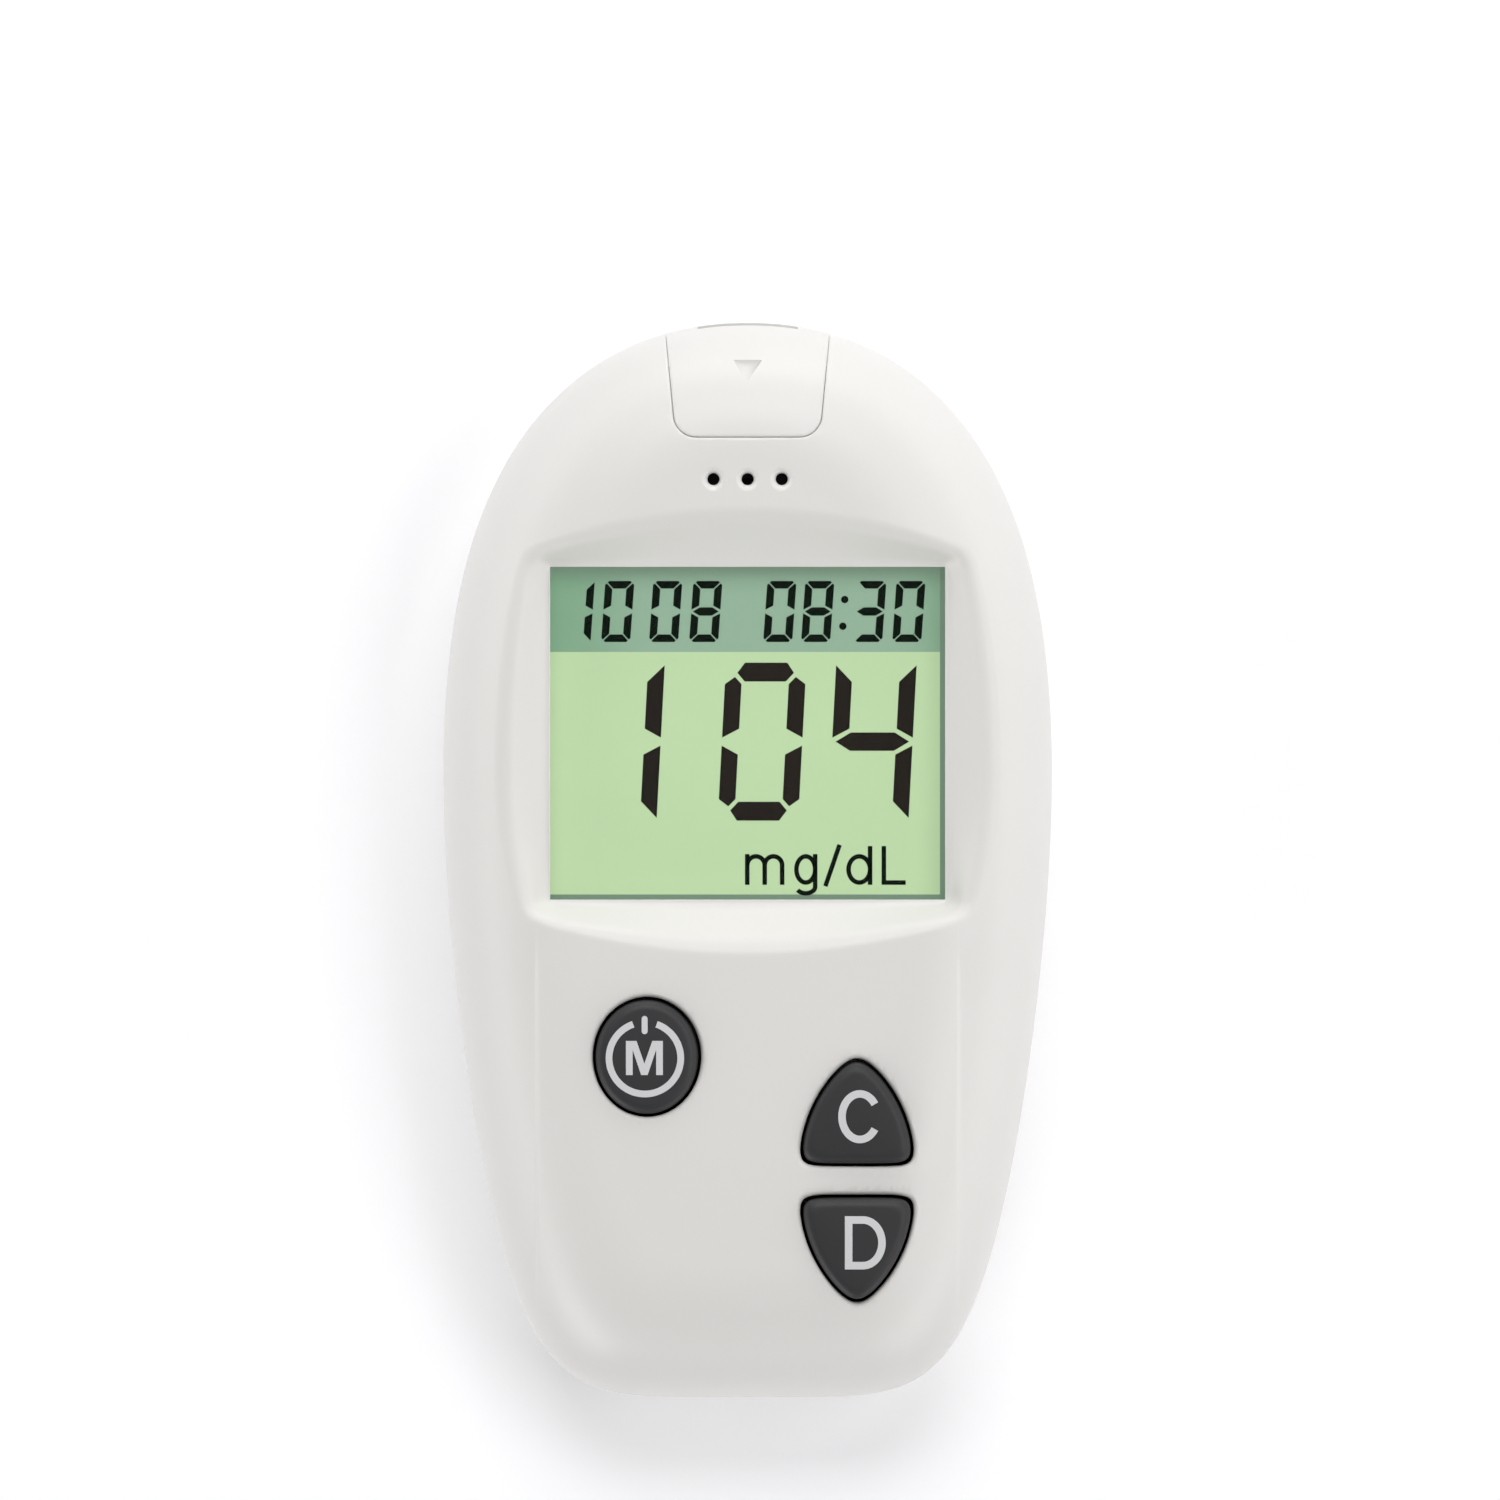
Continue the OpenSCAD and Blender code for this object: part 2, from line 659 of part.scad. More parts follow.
module zebra_strips() {
    color("#d98fa0") for (end = [-1, 1])
        translate([0, window_y + end * (cell_length - cell_ledge) / 2, board_top])
            slab(cell_width - 3, cell_ledge - 4 * fit, glass_middle - board_top);
}

// ---------- board and what is on it ----------

module circuit_board() {
    color(board_green) difference() {
        translate([0, 0, board_bottom]) linear_extrude(board_thickness) polygon(flat_ring(wall + board_gap));
        at_screws() translate([0, 0, board_bottom - cut])
            cylinder(r = screw_hole + 0.1, h = board_thickness + 2 * cut, $fn = 32);
    }
}

module at_keys() {
    translate(oval_at) children(0);
    translate(up_at) children(1);
    translate(down_at) children(2);
}

mat_left = oval_at.x - oval_half.x - 1;
mat_right = up_at.x + 5.6;
mat_far = oval_at.y + oval_half.y + 1.2;
mat_near = down_at.y - key_reach[0] - 1.2;

module keypad_mat() {
    color("#4a4a4d") difference() {
        translate([mat_left, mat_near, board_top]) cube([mat_right - mat_left, mat_far - mat_near, mat_thickness]);
        at_keys() {
            key_prism("oval", 0.5, board_top - cut, mat_top + cut);
            key_prism("up", 0.5, board_top - cut, mat_top + cut);
            key_prism("down", 0.5, board_top - cut, mat_top + cut);
        }
    }
}

// Thin cone that joins the mat to a key's stem and folds when the key is pressed
module skirt(kind) {
    skin = 0.4;
    high = mat_top + 1.5;
    top = stem_inset - fit;
    color("#4a4a4d") open_loft([
        key_ring(kind, top, high), key_ring(kind, skin, mat_top + fit),
        key_ring(kind, 0, mat_top + fit), key_ring(kind, top - skin, high + fit)
    ]);
}

module key(kind) {
    bevel = [[0, 1], [0.06, 0.6], [0.25, 0.3], [0.6, 0.08], [1, 0]];
    color(key_grey) loft(concat(
        [key_ring(kind, stem_inset, key_foot), key_ring(kind, stem_inset, key_top - cap_depth),
            key_ring(kind, key_gap, key_top - cap_depth)],
        [for (b = bevel) key_ring(kind, key_gap + b[0] * key_round, key_top - b[1] * key_round * 0.75)]));
}

module pill() {
    color("#1c1c1e") translate([0, 0, key_foot - pill_thickness])
        cylinder(d = pill_diameter, h = pill_thickness, $fn = 40);
}

module memory_skirt() { translate(oval_at) skirt("oval"); }
module up_skirt() { translate(up_at) skirt("up"); }
module down_skirt() { translate(down_at) skirt("down"); }
module memory_button() { translate(oval_at) key("oval"); }
module up_button() { translate(up_at) key("up"); }
module down_button() { translate(down_at) key("down"); }
module memory_pill() { translate(oval_at) pill(); }
module up_pill() { translate(up_at) pill(); }
module down_pill() { translate(down_at) pill(); }

// Two interlocked combs of gold fingers under a pill
module contact_pattern() {
    finger = 0.35;
    translate([0, 0, board_top]) {
        for (i = [-2 : 2]) translate([i * 2 * finger, (i % 2 == 0 ? 0.25 : -0.25), 0])
            slab(finger, pill_diameter - 0.6, pad_thickness);
        for (end = [-1, 1]) translate([0, end * (pill_diameter / 2 + 0.12), 0])
            slab(pill_diameter - 0.4, finger, pad_thickness);
    }
}

module key_contacts() {
    color(gold) at_keys() {
        contact_pattern();
        contact_pattern();
        contact_pattern();
    }
}

contact_count = 5;
contact_pitch = (strip_width - 1.2) / (contact_count - 1);
function contact_x(i) = (i - (contact_count - 1) / 2) * contact_pitch;
socket_back = socket_end - socket_length;

module strip_connector() {
    color(dark_plastic) difference() {
        translate([-socket_half, socket_back, board_top]) cube([2 * socket_half, socket_length, socket_height]);
        translate([-strip_width / 2, socket_back + 1, board_top + 1]) cube([strip_width, socket_length, strip_height]);
        for (i = [0 : contact_count - 1])
            translate([contact_x(i), socket_back + 1.9, board_top - cut]) slab(0.8, 5.8, cut + 1.1);
    }
}

// One spring: solder tail behind the socket, flat run on the board and a raised nose in the slot
module strip_contact() {
    leaf = 0.15;
    tail = socket_back - 0.7;
    translate([0.25, 0, board_top]) rotate([0, -90, 0]) linear_extrude(0.5) polygon([
        [0, tail], [leaf, tail], [leaf, socket_back + 1.2], [1.3, socket_back + 3.6],
        [0.6, socket_back + 4.5], [0.6 - leaf, socket_back + 4.4], [1.1, socket_back + 3.6],
        [0, socket_back + 1.3]
    ]);
}

module strip_contacts() {
    color(gold) for (i = [0 : contact_count - 1]) translate([contact_x(i), 0, 0]) strip_contact();
}

module buzzer() {
    color(dark_plastic) translate([0, sound_y - 0.8, board_top]) difference() {
        slab(buzzer_side, buzzer_side, buzzer_height);
        translate([0, 0, buzzer_height - 0.8]) cylinder(d = 2, h = 2 * cut, $fn = 24);
    }
}

module microcontroller() {
    chip = 9;
    legs = 9;
    chip_z = board_bottom - 1.5;
    color(dark_plastic) translate([0, window_y, 0]) {
        translate([0, 0, chip_z]) slab(chip, chip, 1.35);
        for (turn = [0 : 90 : 270], i = [0 : legs - 1]) rotate(turn)
            translate([(i - (legs - 1) / 2) * 0.8, chip / 2 + 0.5, 0]) {
                translate([0, -0.2, board_bottom - 0.9]) slab(0.35, 0.8, 0.2);
                translate([0, 0.15, board_bottom - 0.9]) slab(0.35, 0.2, 0.9);
                translate([0, 0.35, board_bottom - 0.2]) slab(0.35, 0.6, 0.2);
            }
    }
}

module crystal() {
    color(steel) translate([-11, window_y - 3, board_bottom - 1.5]) rotate([-90, 0, 0])
        cylinder(d = 2.8, h = 7, $fn = 32);
}

// Small resistors and capacitors in rows under the board
module board_components() {
    color("#b08a60") {
        for (i = [0 : 4]) translate([9.5 + (i % 2) * 2.4, window_y - 5 + i * 2.4, board_bottom - 0.7]) slab(1.9, 1.1, 0.7);
        for (i = [0 : 3]) translate([-6 + i * 4, window_y + 12, board_bottom - 0.9]) slab(2, 1.25, 0.9);
        translate([8, window_y + 16, board_bottom - 2.2]) slab(3.4, 2.8, 2.2);
    }
}

// ---------- battery ----------

module battery_holder() {
    color(dark_plastic) translate([0, coin_y, 0]) difference() {
        rotate_extrude($fn = 72) polygon([
            [holder_in - 0.5, coin_low - 0.5], [holder_out, coin_low - 0.5], [holder_out, board_bottom],
            [6, board_bottom], [6, coin_high + 0.15], [holder_in, coin_high + 0.15],
            [holder_in, coin_low - 0.1], [holder_in - 0.5, coin_low - 0.1]
        ]);
        for (end = [-1, 1]) translate([0, end * coin_r, 0]) slab(13, 6, coin_high - 0.5);
        translate([0, coin_r + 2, 0]) slab(6, 8, board_bottom + cut);
    }
}

module positive_contact() {
    leaf = 0.25;
    plate_y = coin_y + coin_r + fit;
    color(steel) {
        translate([-2.2, plate_y, coin_low + 0.4]) cube([4.4, leaf, board_bottom - coin_low - 0.4]);
        translate([-2.2, plate_y, board_bottom - leaf]) cube([4.4, 2, leaf]);
    }
}

module negative_contact() {
    leaf = 0.2;
    color(steel) translate([0, coin_y, 0]) rotate_extrude($fn = 48) polygon([
        [1.2, coin_high + fit], [5.4, board_bottom - leaf], [5.8, board_bottom - leaf], [5.8, board_bottom],
        [5.2, board_bottom], [1.2, coin_high + leaf + fit]
    ]);
}

module coin_cell() {
    cap_r = coin_r - 1.3;
    color(steel) translate([0, coin_y, 0]) rotate_extrude($fn = 72) polygon([
        [0, coin_low], [coin_r - 0.3, coin_low], [coin_r, coin_low + 0.3], [coin_r, coin_high - 0.5],
        [coin_r - 0.25, coin_high - 0.3], [cap_r, coin_high - 0.3], [cap_r - 0.2, coin_high], [0, coin_high]
    ]);
}

front_cover();
back_cover();
strip_port_cover();
battery_door();
case_screws();
display_lens();
lcd_polarizer();
lcd_glass();
lcd_reflector();
lcd_frame();
zebra_strips();
circuit_board();
keypad_mat();
memory_skirt();
up_skirt();
down_skirt();
memory_button();
up_button();
down_button();
memory_pill();
up_pill();
down_pill();
key_contacts();
strip_connector();
strip_contacts();
buzzer();
microcontroller();
crystal();
board_components();
battery_holder();
positive_contact();
negative_contact();
coin_cell();
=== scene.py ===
"""Looks of a hand-held blood glucose meter, built round its packed frame.

The meter lies on its back. X runs across it, Y to the strip port end and Z out of the display.
Shapes are worked out in millimetres and turned to metres when a mesh is made.
"""

import math

import bmesh
import bpy
import numpy as np
from mathutils import Matrix, Vector


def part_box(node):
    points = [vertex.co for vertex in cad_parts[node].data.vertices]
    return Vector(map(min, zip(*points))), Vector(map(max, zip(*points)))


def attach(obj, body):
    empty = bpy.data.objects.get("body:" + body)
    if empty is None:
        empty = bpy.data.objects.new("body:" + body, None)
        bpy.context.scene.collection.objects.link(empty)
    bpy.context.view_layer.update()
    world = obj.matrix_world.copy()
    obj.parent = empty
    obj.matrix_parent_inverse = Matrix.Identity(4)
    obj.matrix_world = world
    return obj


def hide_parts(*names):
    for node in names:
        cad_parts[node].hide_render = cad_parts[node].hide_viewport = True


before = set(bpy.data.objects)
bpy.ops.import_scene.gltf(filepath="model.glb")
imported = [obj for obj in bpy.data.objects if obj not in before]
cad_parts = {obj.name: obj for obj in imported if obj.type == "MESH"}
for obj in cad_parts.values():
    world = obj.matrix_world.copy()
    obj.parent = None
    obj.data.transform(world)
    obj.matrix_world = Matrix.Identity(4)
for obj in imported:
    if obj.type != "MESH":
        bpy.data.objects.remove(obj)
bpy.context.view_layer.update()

bl_info = {
    "name": "Blood glucose meter",
    "version": (1, 0, 0),
    "blender": (4, 5, 0),
    "location": "View3D > Sidebar > Meter",
    "description": "Builds the covers, keys, display and finishes of a blood glucose meter",
    "category": "Object",
}

MM = 0.001
OVERLAP = 0.001  # mm, keeps faces of joined solids from lying in one plane


# ---------- values a user would change ----------

def linear(code):
    """Linear RGBA of an sRGB hex colour"""
    parts = [int(code[i:i + 2], 16) / 255 for i in (1, 3, 5)]
    return [c / 12.92 if c <= 0.04045 else ((c + 0.055) / 1.055) ** 2.4 for c in parts] + [1.0]


def size(name, description, default):
    return bpy.props.FloatProperty(
        name=name, description=description, default=default, unit="LENGTH", precision=5)


def factor(name, description, default):
    return bpy.props.FloatProperty(
        name=name, description=description, default=default, subtype="FACTOR", precision=3)


def angle(name, description, degrees):
    return bpy.props.FloatProperty(
        name=name, description=description, default=math.radians(degrees), subtype="ANGLE")


def powers(name, description, watts):
    return bpy.props.FloatVectorProperty(
        name=name, description=description, default=watts, size=len(watts), unit="POWER")


def colour(name, description, code):
    return bpy.props.FloatVectorProperty(
        name=name, description=description, default=linear(code), size=4, subtype="COLOR")


class MeterCase(bpy.types.PropertyGroup):
    """Sizes of the two covers"""
    length: size("Case length", "Bottom end to strip port end", 0.090)
    width: size("Case width", "Width where the case is widest", 0.051)
    face_height: size("Face height", "Height of the front face above the table", 0.0185)
    parting_height: size("Parting height", "Height of the line where the covers meet", 0.008)
    wall: size("Wall", "Thickness of the walls of both covers", 0.0018)
    front_edge: size("Front edge", "Width of the front face's rounded edge", 0.012)
    back_edge: size("Back edge", "Width of the back's rounded edge", 0.008)
    crown: size("Crown", "Rise of the middle of the front face", 0.00025)
    groove: size("Groove", "Width of the shadow groove along the parting line", 0.00025)
    lip_height: size("Lip height", "Height of the lip that centres one cover in the other", 0.0008)
    taper: factor("Taper", "How much the case widens towards the strip port end", 0.384)
    swell: factor("Swell", "How much the outline swells towards both ends", 0.141)
    top_round: factor("Top roundness", "Roundness of the strip port end", 0.471)
    bottom_round: factor("Bottom roundness", "Roundness of the bottom end", 0.184)
    crease_aside: size("Crease aside", "Distance of the two creases from the middle", 0.0176)
    crease_step: size("Crease step", "Drop of the flanks outside the creases", 0.00026)
    hole_round: size("Hole rounding", "Rounding of the edges of the key holes", 0.00035)


class MeterDisplay(bpy.types.PropertyGroup):
    """Sizes of the display recess and of what the display shows"""
    recess_half_width: size("Recess half width", "Half the width of the recess at its rim", 0.0203)
    recess_above: size("Recess above", "Width of the slope above the window", 0.0042)
    recess_below: size("Recess below", "Width of the slope below the window", 0.0039)
    recess_ledge: size("Ledge", "Flat ledge round the window", 0.0004)
    recess_depth: size("Recess depth", "Depth of the recess below the face", 0.0031)
    flange: size("Flange", "Thickness of the case round the window", 0.0012)
    lens_overlap: size("Lens overlap", "How far the lens reaches past the window", 0.0015)
    rim_round: size("Rim rounding", "Rounding of the recess's rim", 0.0009)
    band_height: size("Band height", "Height of the tinted band at the top of the display", 0.0071)
    big_digit: size("Big digit height", "Height of the reading's digits", 0.0132)
    small_digit: size("Small digit height", "Height of the date and time digits", 0.0051)


class MeterKeys(bpy.types.PropertyGroup):
    """Sizes of the three rubber keys"""
    oval_half_x: size("Oval half width", "Half width of the oval key's hole", 0.00452)
    oval_half_y: size("Oval half length", "Half length of the oval key's hole", 0.0050)
    base_reach: size("Base reach", "Reach of a triangle's base from its middle", 0.00449)
    side_reach: size("Side reach", "Reach of a triangle's sides from its middle", 0.00355)
    side_bow: factor("Side bow", "How fast a triangle's sides curve in from their middle", 0.044)
    corner: factor("Corner sharpness", "Sharpness of a triangle's corners", 1.5)
    lean: angle("Lean", "Slope of a triangle's sides from upright", 33)
    gap: size("Gap", "Gap between a key and its hole", 0.00025)
    edge: size("Edge rounding", "Width of a key's rounded edge", 0.0009)
    dome: size("Dome", "Rise of the middle of a key's top", 0.00008)
    ink: size("Ink", "Height of the printed legends above the key", 0.00002)


class MeterFinish(bpy.types.PropertyGroup):
    """Colours of the meter"""
    shell: colour("Shell", "White ABS of the covers", "#E0DEDB")
    rubber: colour("Key rubber", "Dark grey silicone of the keys", "#19191B")
    legend: colour("Legend ink", "Pale grey print on the keys", "#CFCFD1")
    cell: colour("Display", "Green of the display", "#BFDCAB")
    band: colour("Display band", "Blue-green band at the top of the display", "#91B298")
    # Display glow is painted light: the emission keeps the display evenly bright against the shade of the
    # recess, and the real display has no backlight.
    glow: factor("Display glow", "Backlight of the display", 0.65)
    # The band's sides are painted shade: darker ends where the window's side walls shade the band.
    band_side: colour("Display band sides", "Greener tone at the band's two ends", "#7DA886")
    reading: colour("Reading", "Dark segments of the reading", "#2C2521")
    date: colour("Date", "Dark segments of the date and time", "#06140A")
    mask: colour("Solder mask", "Green lacquer of the circuit board", "#1B5E3A")


class MeterStage(bpy.types.PropertyGroup):
    """Camera and light"""
    focal: bpy.props.FloatProperty(
        name="Focal length", description="Focal length of the camera in mm", default=700.0)
    view_width: size("View width", "Width of the picture at the display", 0.12546)
    aim_x: size("Aim X", "Point across the meter that the camera looks at", 0.0002)
    aim_y: size("Aim Y", "Point along the meter that the camera looks at", 0.0092)
    sky: factor("Sky", "Strength of the even light", 0.01)
    low_angle: angle("Low angle", "Angle of the low soft boxes above the table", 14)
    high_angle: angle("High angle", "Angle of the high soft boxes above the table", 55)
    low_ring: powers("Low ring", "Powers of the eight low soft boxes, anticlockwise from the right",
                     (2.1, 1.9, 4.5, 2.2, 2.35, 6.1, 0.7, 3.9))
    high_pair: powers("High pair", "Powers of the high soft boxes on the right and at the port end",
                      (4.1, 6.5))
    floor: colour("Floor", "Pale floor", "#F6F6F8")


GROUPS = {"meter_case": MeterCase, "meter_display": MeterDisplay, "meter_keys": MeterKeys,
          "meter_finish": MeterFinish, "meter_stage": MeterStage}


# ---------- shape of the case, in millimetres ----------

def smooth_step(value, low, high):
    t = np.clip((value - low) / (high - low), 0, 1)
    return t * t * (3 - 2 * t)


def halving(inside, low, high, shape, steps=40):
    """Largest value between low and high at which inside(value) holds, for an array of that shape"""
    low = np.full(shape, float(low))
    high = np.full(shape, float(high))
    for _ in range(steps):
        middle = (low + high) / 2
        held = inside(middle)
        low = np.where(held, middle, low)
        high = np.where(held, high, middle)
    return low


class MeterShape:
    """Curves, surfaces and places of the meter in millimetres, from the sizes and the frame"""

    def __init__(self, scene):
        self.scene = scene
        for group in ("meter_case", "meter_display", "meter_keys"):
            values = getattr(scene, group)
            for name in GROUPS[group].__annotations__:
                is_size = values.bl_rna.properties[name].unit == "LENGTH"
                setattr(self, name, getattr(values, name) / MM if is_size else getattr(values, name))
        self.half_l = self.length / 2
        self.half_w = self.width / 2
        shares = np.linspace(-0.3, 0.6, 91)
        self.widest = self.side(shares).max()
        lens_low, lens_high = self.node_box("display_lens")
        self.window = (lens_high - lens_low)[:2] / 2 - self.lens_overlap
        self.centre = ((lens_high + lens_low) / 2)[:2]
        self.window_z = self.face_height - self.recess_depth
        self.flange_z = self.window_z - self.flange
        self.cell_z = self.node_box("lcd_polarizer")[1][2]
        self.key_at = {kind: sum(self.node_box(name + "_pill"))[:2] / 2
                       for kind, name in (("oval", "memory"), ("up", "up"), ("down", "down"))}
        self.key_foot = self.node_box("memory_button")[0][2]
        self.key_top = self.node_box("memory_button")[1][2]
        self.set_rays()

    @staticmethod
    def node_box(node):
        return [np.array(corner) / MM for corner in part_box(node)]

    def side(self, t):
        body = 1 + self.taper * t + self.swell * t * t
        return body * (1 - t) ** self.top_round * (1 + t) ** self.bottom_round

    def half_width(self, y):
        t = np.clip(y / self.half_l, -1, 1)
        return self.half_w * self.side(t) / self.widest

    def scaled(self, points, inset):
        """Outline points drawn in by an inset on the sides and the ends"""
        return points * [(self.half_w - inset) / self.half_w, (self.half_l - inset) / self.half_l]

    def level(self, inset, z):
        """Ring of the case's outline at one height, drawn in by an inset"""
        return ring(self.scaled(self.outline, inset), z)

    @staticmethod
    def edge_rise(u):
        return (1 - (1 - np.clip(u, 0, 1)) ** 2.4) ** 0.5

    def crown_at(self, inset):
        out = (self.half_w - inset) / (self.half_w - self.front_edge)
        return np.where(inset > self.front_edge, self.crown * (1 - out ** 2), 0)

    def front_z(self, inset, wall=0):
        """Height of the front face by its inset from the outline, or of the surface one wall further in"""
        rise = self.face_height - self.parting_height - self.crown - wall
        deep = inset - wall
        return self.parting_height + rise * self.edge_rise(deep / self.front_edge) + self.crown_at(deep)

    def inset_at(self, points):
        x, y = np.abs(points[..., 0]), points[..., 1]

        def inside(inset):
            wide = x * self.half_w / (self.half_w - inset)
            return wide < self.half_width(y * self.half_l / (self.half_l - inset))
        return halving(inside, 0, self.half_w - 0.3, x.shape)

    def front_height(self, points):
        """Height of the front face over points in plan"""
        return self.front_z(self.inset_at(points))

    def back_z(self, inset, wall=0):
        """Height of the back by its inset from the outline, or of the surface one wall further in"""
        fall = (self.parting_height - wall) * self.edge_rise((inset - wall) / self.back_edge)
        return self.parting_height - fall

    def in_recess(self, points):
        """Whether points lie inside the recess's rim, which is four shallow arcs that run together"""
        x, y = points[..., 0], points[..., 1]
        top = self.centre[1] + self.window[1] + self.recess_above
        bottom = self.centre[1] - self.window[1] - self.recess_below
        wide_y = 7.5
        pull = np.where(y > wide_y, 2 * ((y - wide_y) / 17.8) ** 2, 1.9 * ((wide_y - y) / 11.4) ** 2)
        top_bow, bottom_bow, blend = 102, 118, 2.4
        terms = [y - top + x * x / top_bow, bottom + x * x / bottom_bow - y,
                 np.abs(x) - self.recess_half_width + pull]
        return sum(np.exp(blend * np.clip(term, -60, 20)) for term in terms) < 1

    def set_rays(self):
        """Rays from the window's middle, evenly spaced by angle, with one through each corner"""
        step = math.radians(0.75)
        foot = self.window + self.recess_ledge
        corner = math.atan2(foot[1], foot[0])
        spans = [(-corner, corner), (corner, math.pi - corner),
                 (math.pi - corner, math.pi + corner), (math.pi + corner, 2 * math.pi - corner)]
        angles = np.concatenate([np.linspace(start, end, round((end - start) / step), endpoint=False)
                                 for start, end in spans])
        units = np.column_stack([np.cos(angles), np.sin(angles)]) / foot
        self.units = units / np.abs(units).max(axis=1, keepdims=True)
        away = self.units * foot
        self.ways = away / np.linalg.norm(away, axis=1, keepdims=True)
        count = (len(self.ways),)

        def on_ray(reach):
            return self.centre + self.ways * reach[:, None]
        outline = halving(
            lambda r: np.abs(on_ray(r)[:, 0]) < self.half_width(on_ray(r)[:, 1]), 0, 110, count)
        self.outline = on_ray(outline)
        self.rim = on_ray(halving(lambda r: self.in_recess(on_ray(r)), 0, 60, count))

    def window_ring(self, grow):
        return self.centre + self.units * (self.window + grow)

    def soft_window(self, grow, radius):
        """The window's outline grown and with round corners, one point on each ray"""
        core = self.window + grow - radius

        def inside(r):
            past = np.maximum(np.abs(self.ways * r[:, None]) - core, 0)
            return np.linalg.norm(past, axis=1) < radius
        return self.centre + self.ways * halving(inside, 0, 60, (len(self.ways),))[:, None]

    def key_outline(self, kind, inset, count=160):
        """Outline of a key's hole drawn in by an inset, about the key's middle"""
        angles = np.linspace(0, 2 * math.pi, count, endpoint=False)
        ways = np.column_stack([np.cos(angles), np.sin(angles)])
        return ways * self.key_reach(kind, ways, inset)[:, None]

    def key_reach(self, kind, ways, inset):
        if kind == "oval":
            a, b = self.oval_half_x - inset, self.oval_half_y - inset
            return 1 / np.sqrt((ways[:, 0] / a) ** 2 + (ways[:, 1] / b) ** 2)
        turn = 1 if kind == "up" else -1

        def inside(r):
            x, y = r * ways[:, 0] * turn, r * ways[:, 1] * turn
            cos, sin = math.cos(self.lean), math.sin(self.lean)
            sides = [cos * side + sin * y - self.side_reach + self.side_bow * (cos * y - sin * side) ** 2
                     for side in (x, -x)]
            return sum(np.exp(self.corner * (term + inset)) for term in [-y - self.base_reach] + sides) < 1
        return halving(inside, 0, 9, (len(ways),))


# ---------- meshes ----------

def ring(points, z):
    """Points in plan with one height for all, or a height for each"""
    return np.column_stack([points, np.broadcast_to(z, len(points))])


def link(name, points, faces):
    """New object from points in millimetres"""
    mesh = bpy.data.meshes.new(name)
    mesh.from_pydata((np.asarray(points) * MM).tolist(), [], faces)
    mesh.validate()
    piece = bpy.data.objects.new(name, mesh)
    bpy.context.scene.collection.objects.link(piece)
    return piece


def loft(name, rings, closed=False):
    """Solid through rings of equal counts. A closed one runs from the last ring back to the first."""
    n, count = len(rings[0]), len(rings)
    faces = []
    for i in range(count if closed else count - 1):
        k = (i + 1) % count
        faces += [(i * n + j, i * n + (j + 1) % n, k * n + (j + 1) % n, k * n + j) for j in range(n)]
    points = np.vstack(rings)
    if not closed:
        points = np.vstack([points, rings[0].mean(0), rings[-1].mean(0)])
        first, last = count * n, (count - 1) * n
        faces += [(first, (j + 1) % n, j) for j in range(n)]
        faces += [(first + 1, last + j, last + (j + 1) % n) for j in range(n)]
    return link(name, points, faces)


def block(low, high):
    """Solid box between two corners"""
    (x0, y0, z0), (x1, y1, z1) = low, high
    plan = np.array([[x0, y0], [x1, y0], [x1, y1], [x0, y1]])
    return loft("block", [ring(plan, z0), ring(plan, z1)])


def post(at, profile, count=64):
    """Solid of revolution about an upright line, from its radii and heights"""
    angles = np.linspace(0, 2 * math.pi, count, endpoint=False)
    plan = np.column_stack([np.cos(angles), np.sin(angles)])
    return loft("post", [ring(plan * r + at, z) for r, z in profile])


def combine(piece, operation, *others):
    """Joins to, cuts from or crosses with a piece, for good"""
    for other in others:
        modifier = piece.modifiers.new(operation, "BOOLEAN")
        modifier.object = other
        modifier.operation = operation
        modifier.solver = "MANIFOLD"
        graph = bpy.context.evaluated_depsgraph_get()
        made = bpy.data.meshes.new_from_object(piece.evaluated_get(graph))
        piece.modifiers.clear()
        old = piece.data
        piece.data = made
        bpy.data.meshes.remove(old)
        spare = other.data
        bpy.data.objects.remove(other)
        bpy.data.meshes.remove(spare)
    if not piece.data.polygons:
        raise RuntimeError(f"{piece.name} has no faces after {operation}")
    return piece


def dress(piece, material, body, *nodes, slot=None, sharp=30):
    """Shading, finish, body and CAD nodes of a finished piece"""
    mesh = piece.data
    mesh.shade_smooth()
    mesh.set_sharp_from_angle(angle=math.radians(sharp))
    mesh.materials.clear()
    mesh.materials.append(material)
    mesh.polygons.foreach_set("material_index", [0] * len(mesh.polygons))
    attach(piece, body)
    if nodes:
        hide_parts(*nodes)
    return piece


def bend(start, corner, end, steps):
    """Rings on a curve from start to end that leans on the corner, without the two ends"""
    turns = np.linspace(0, 1, steps + 2)[1:-1]
    return [start * (1 - t) ** 2 + corner * 2 * t * (1 - t) + end * t ** 2 for t in turns]


# ---------- front cover ----------

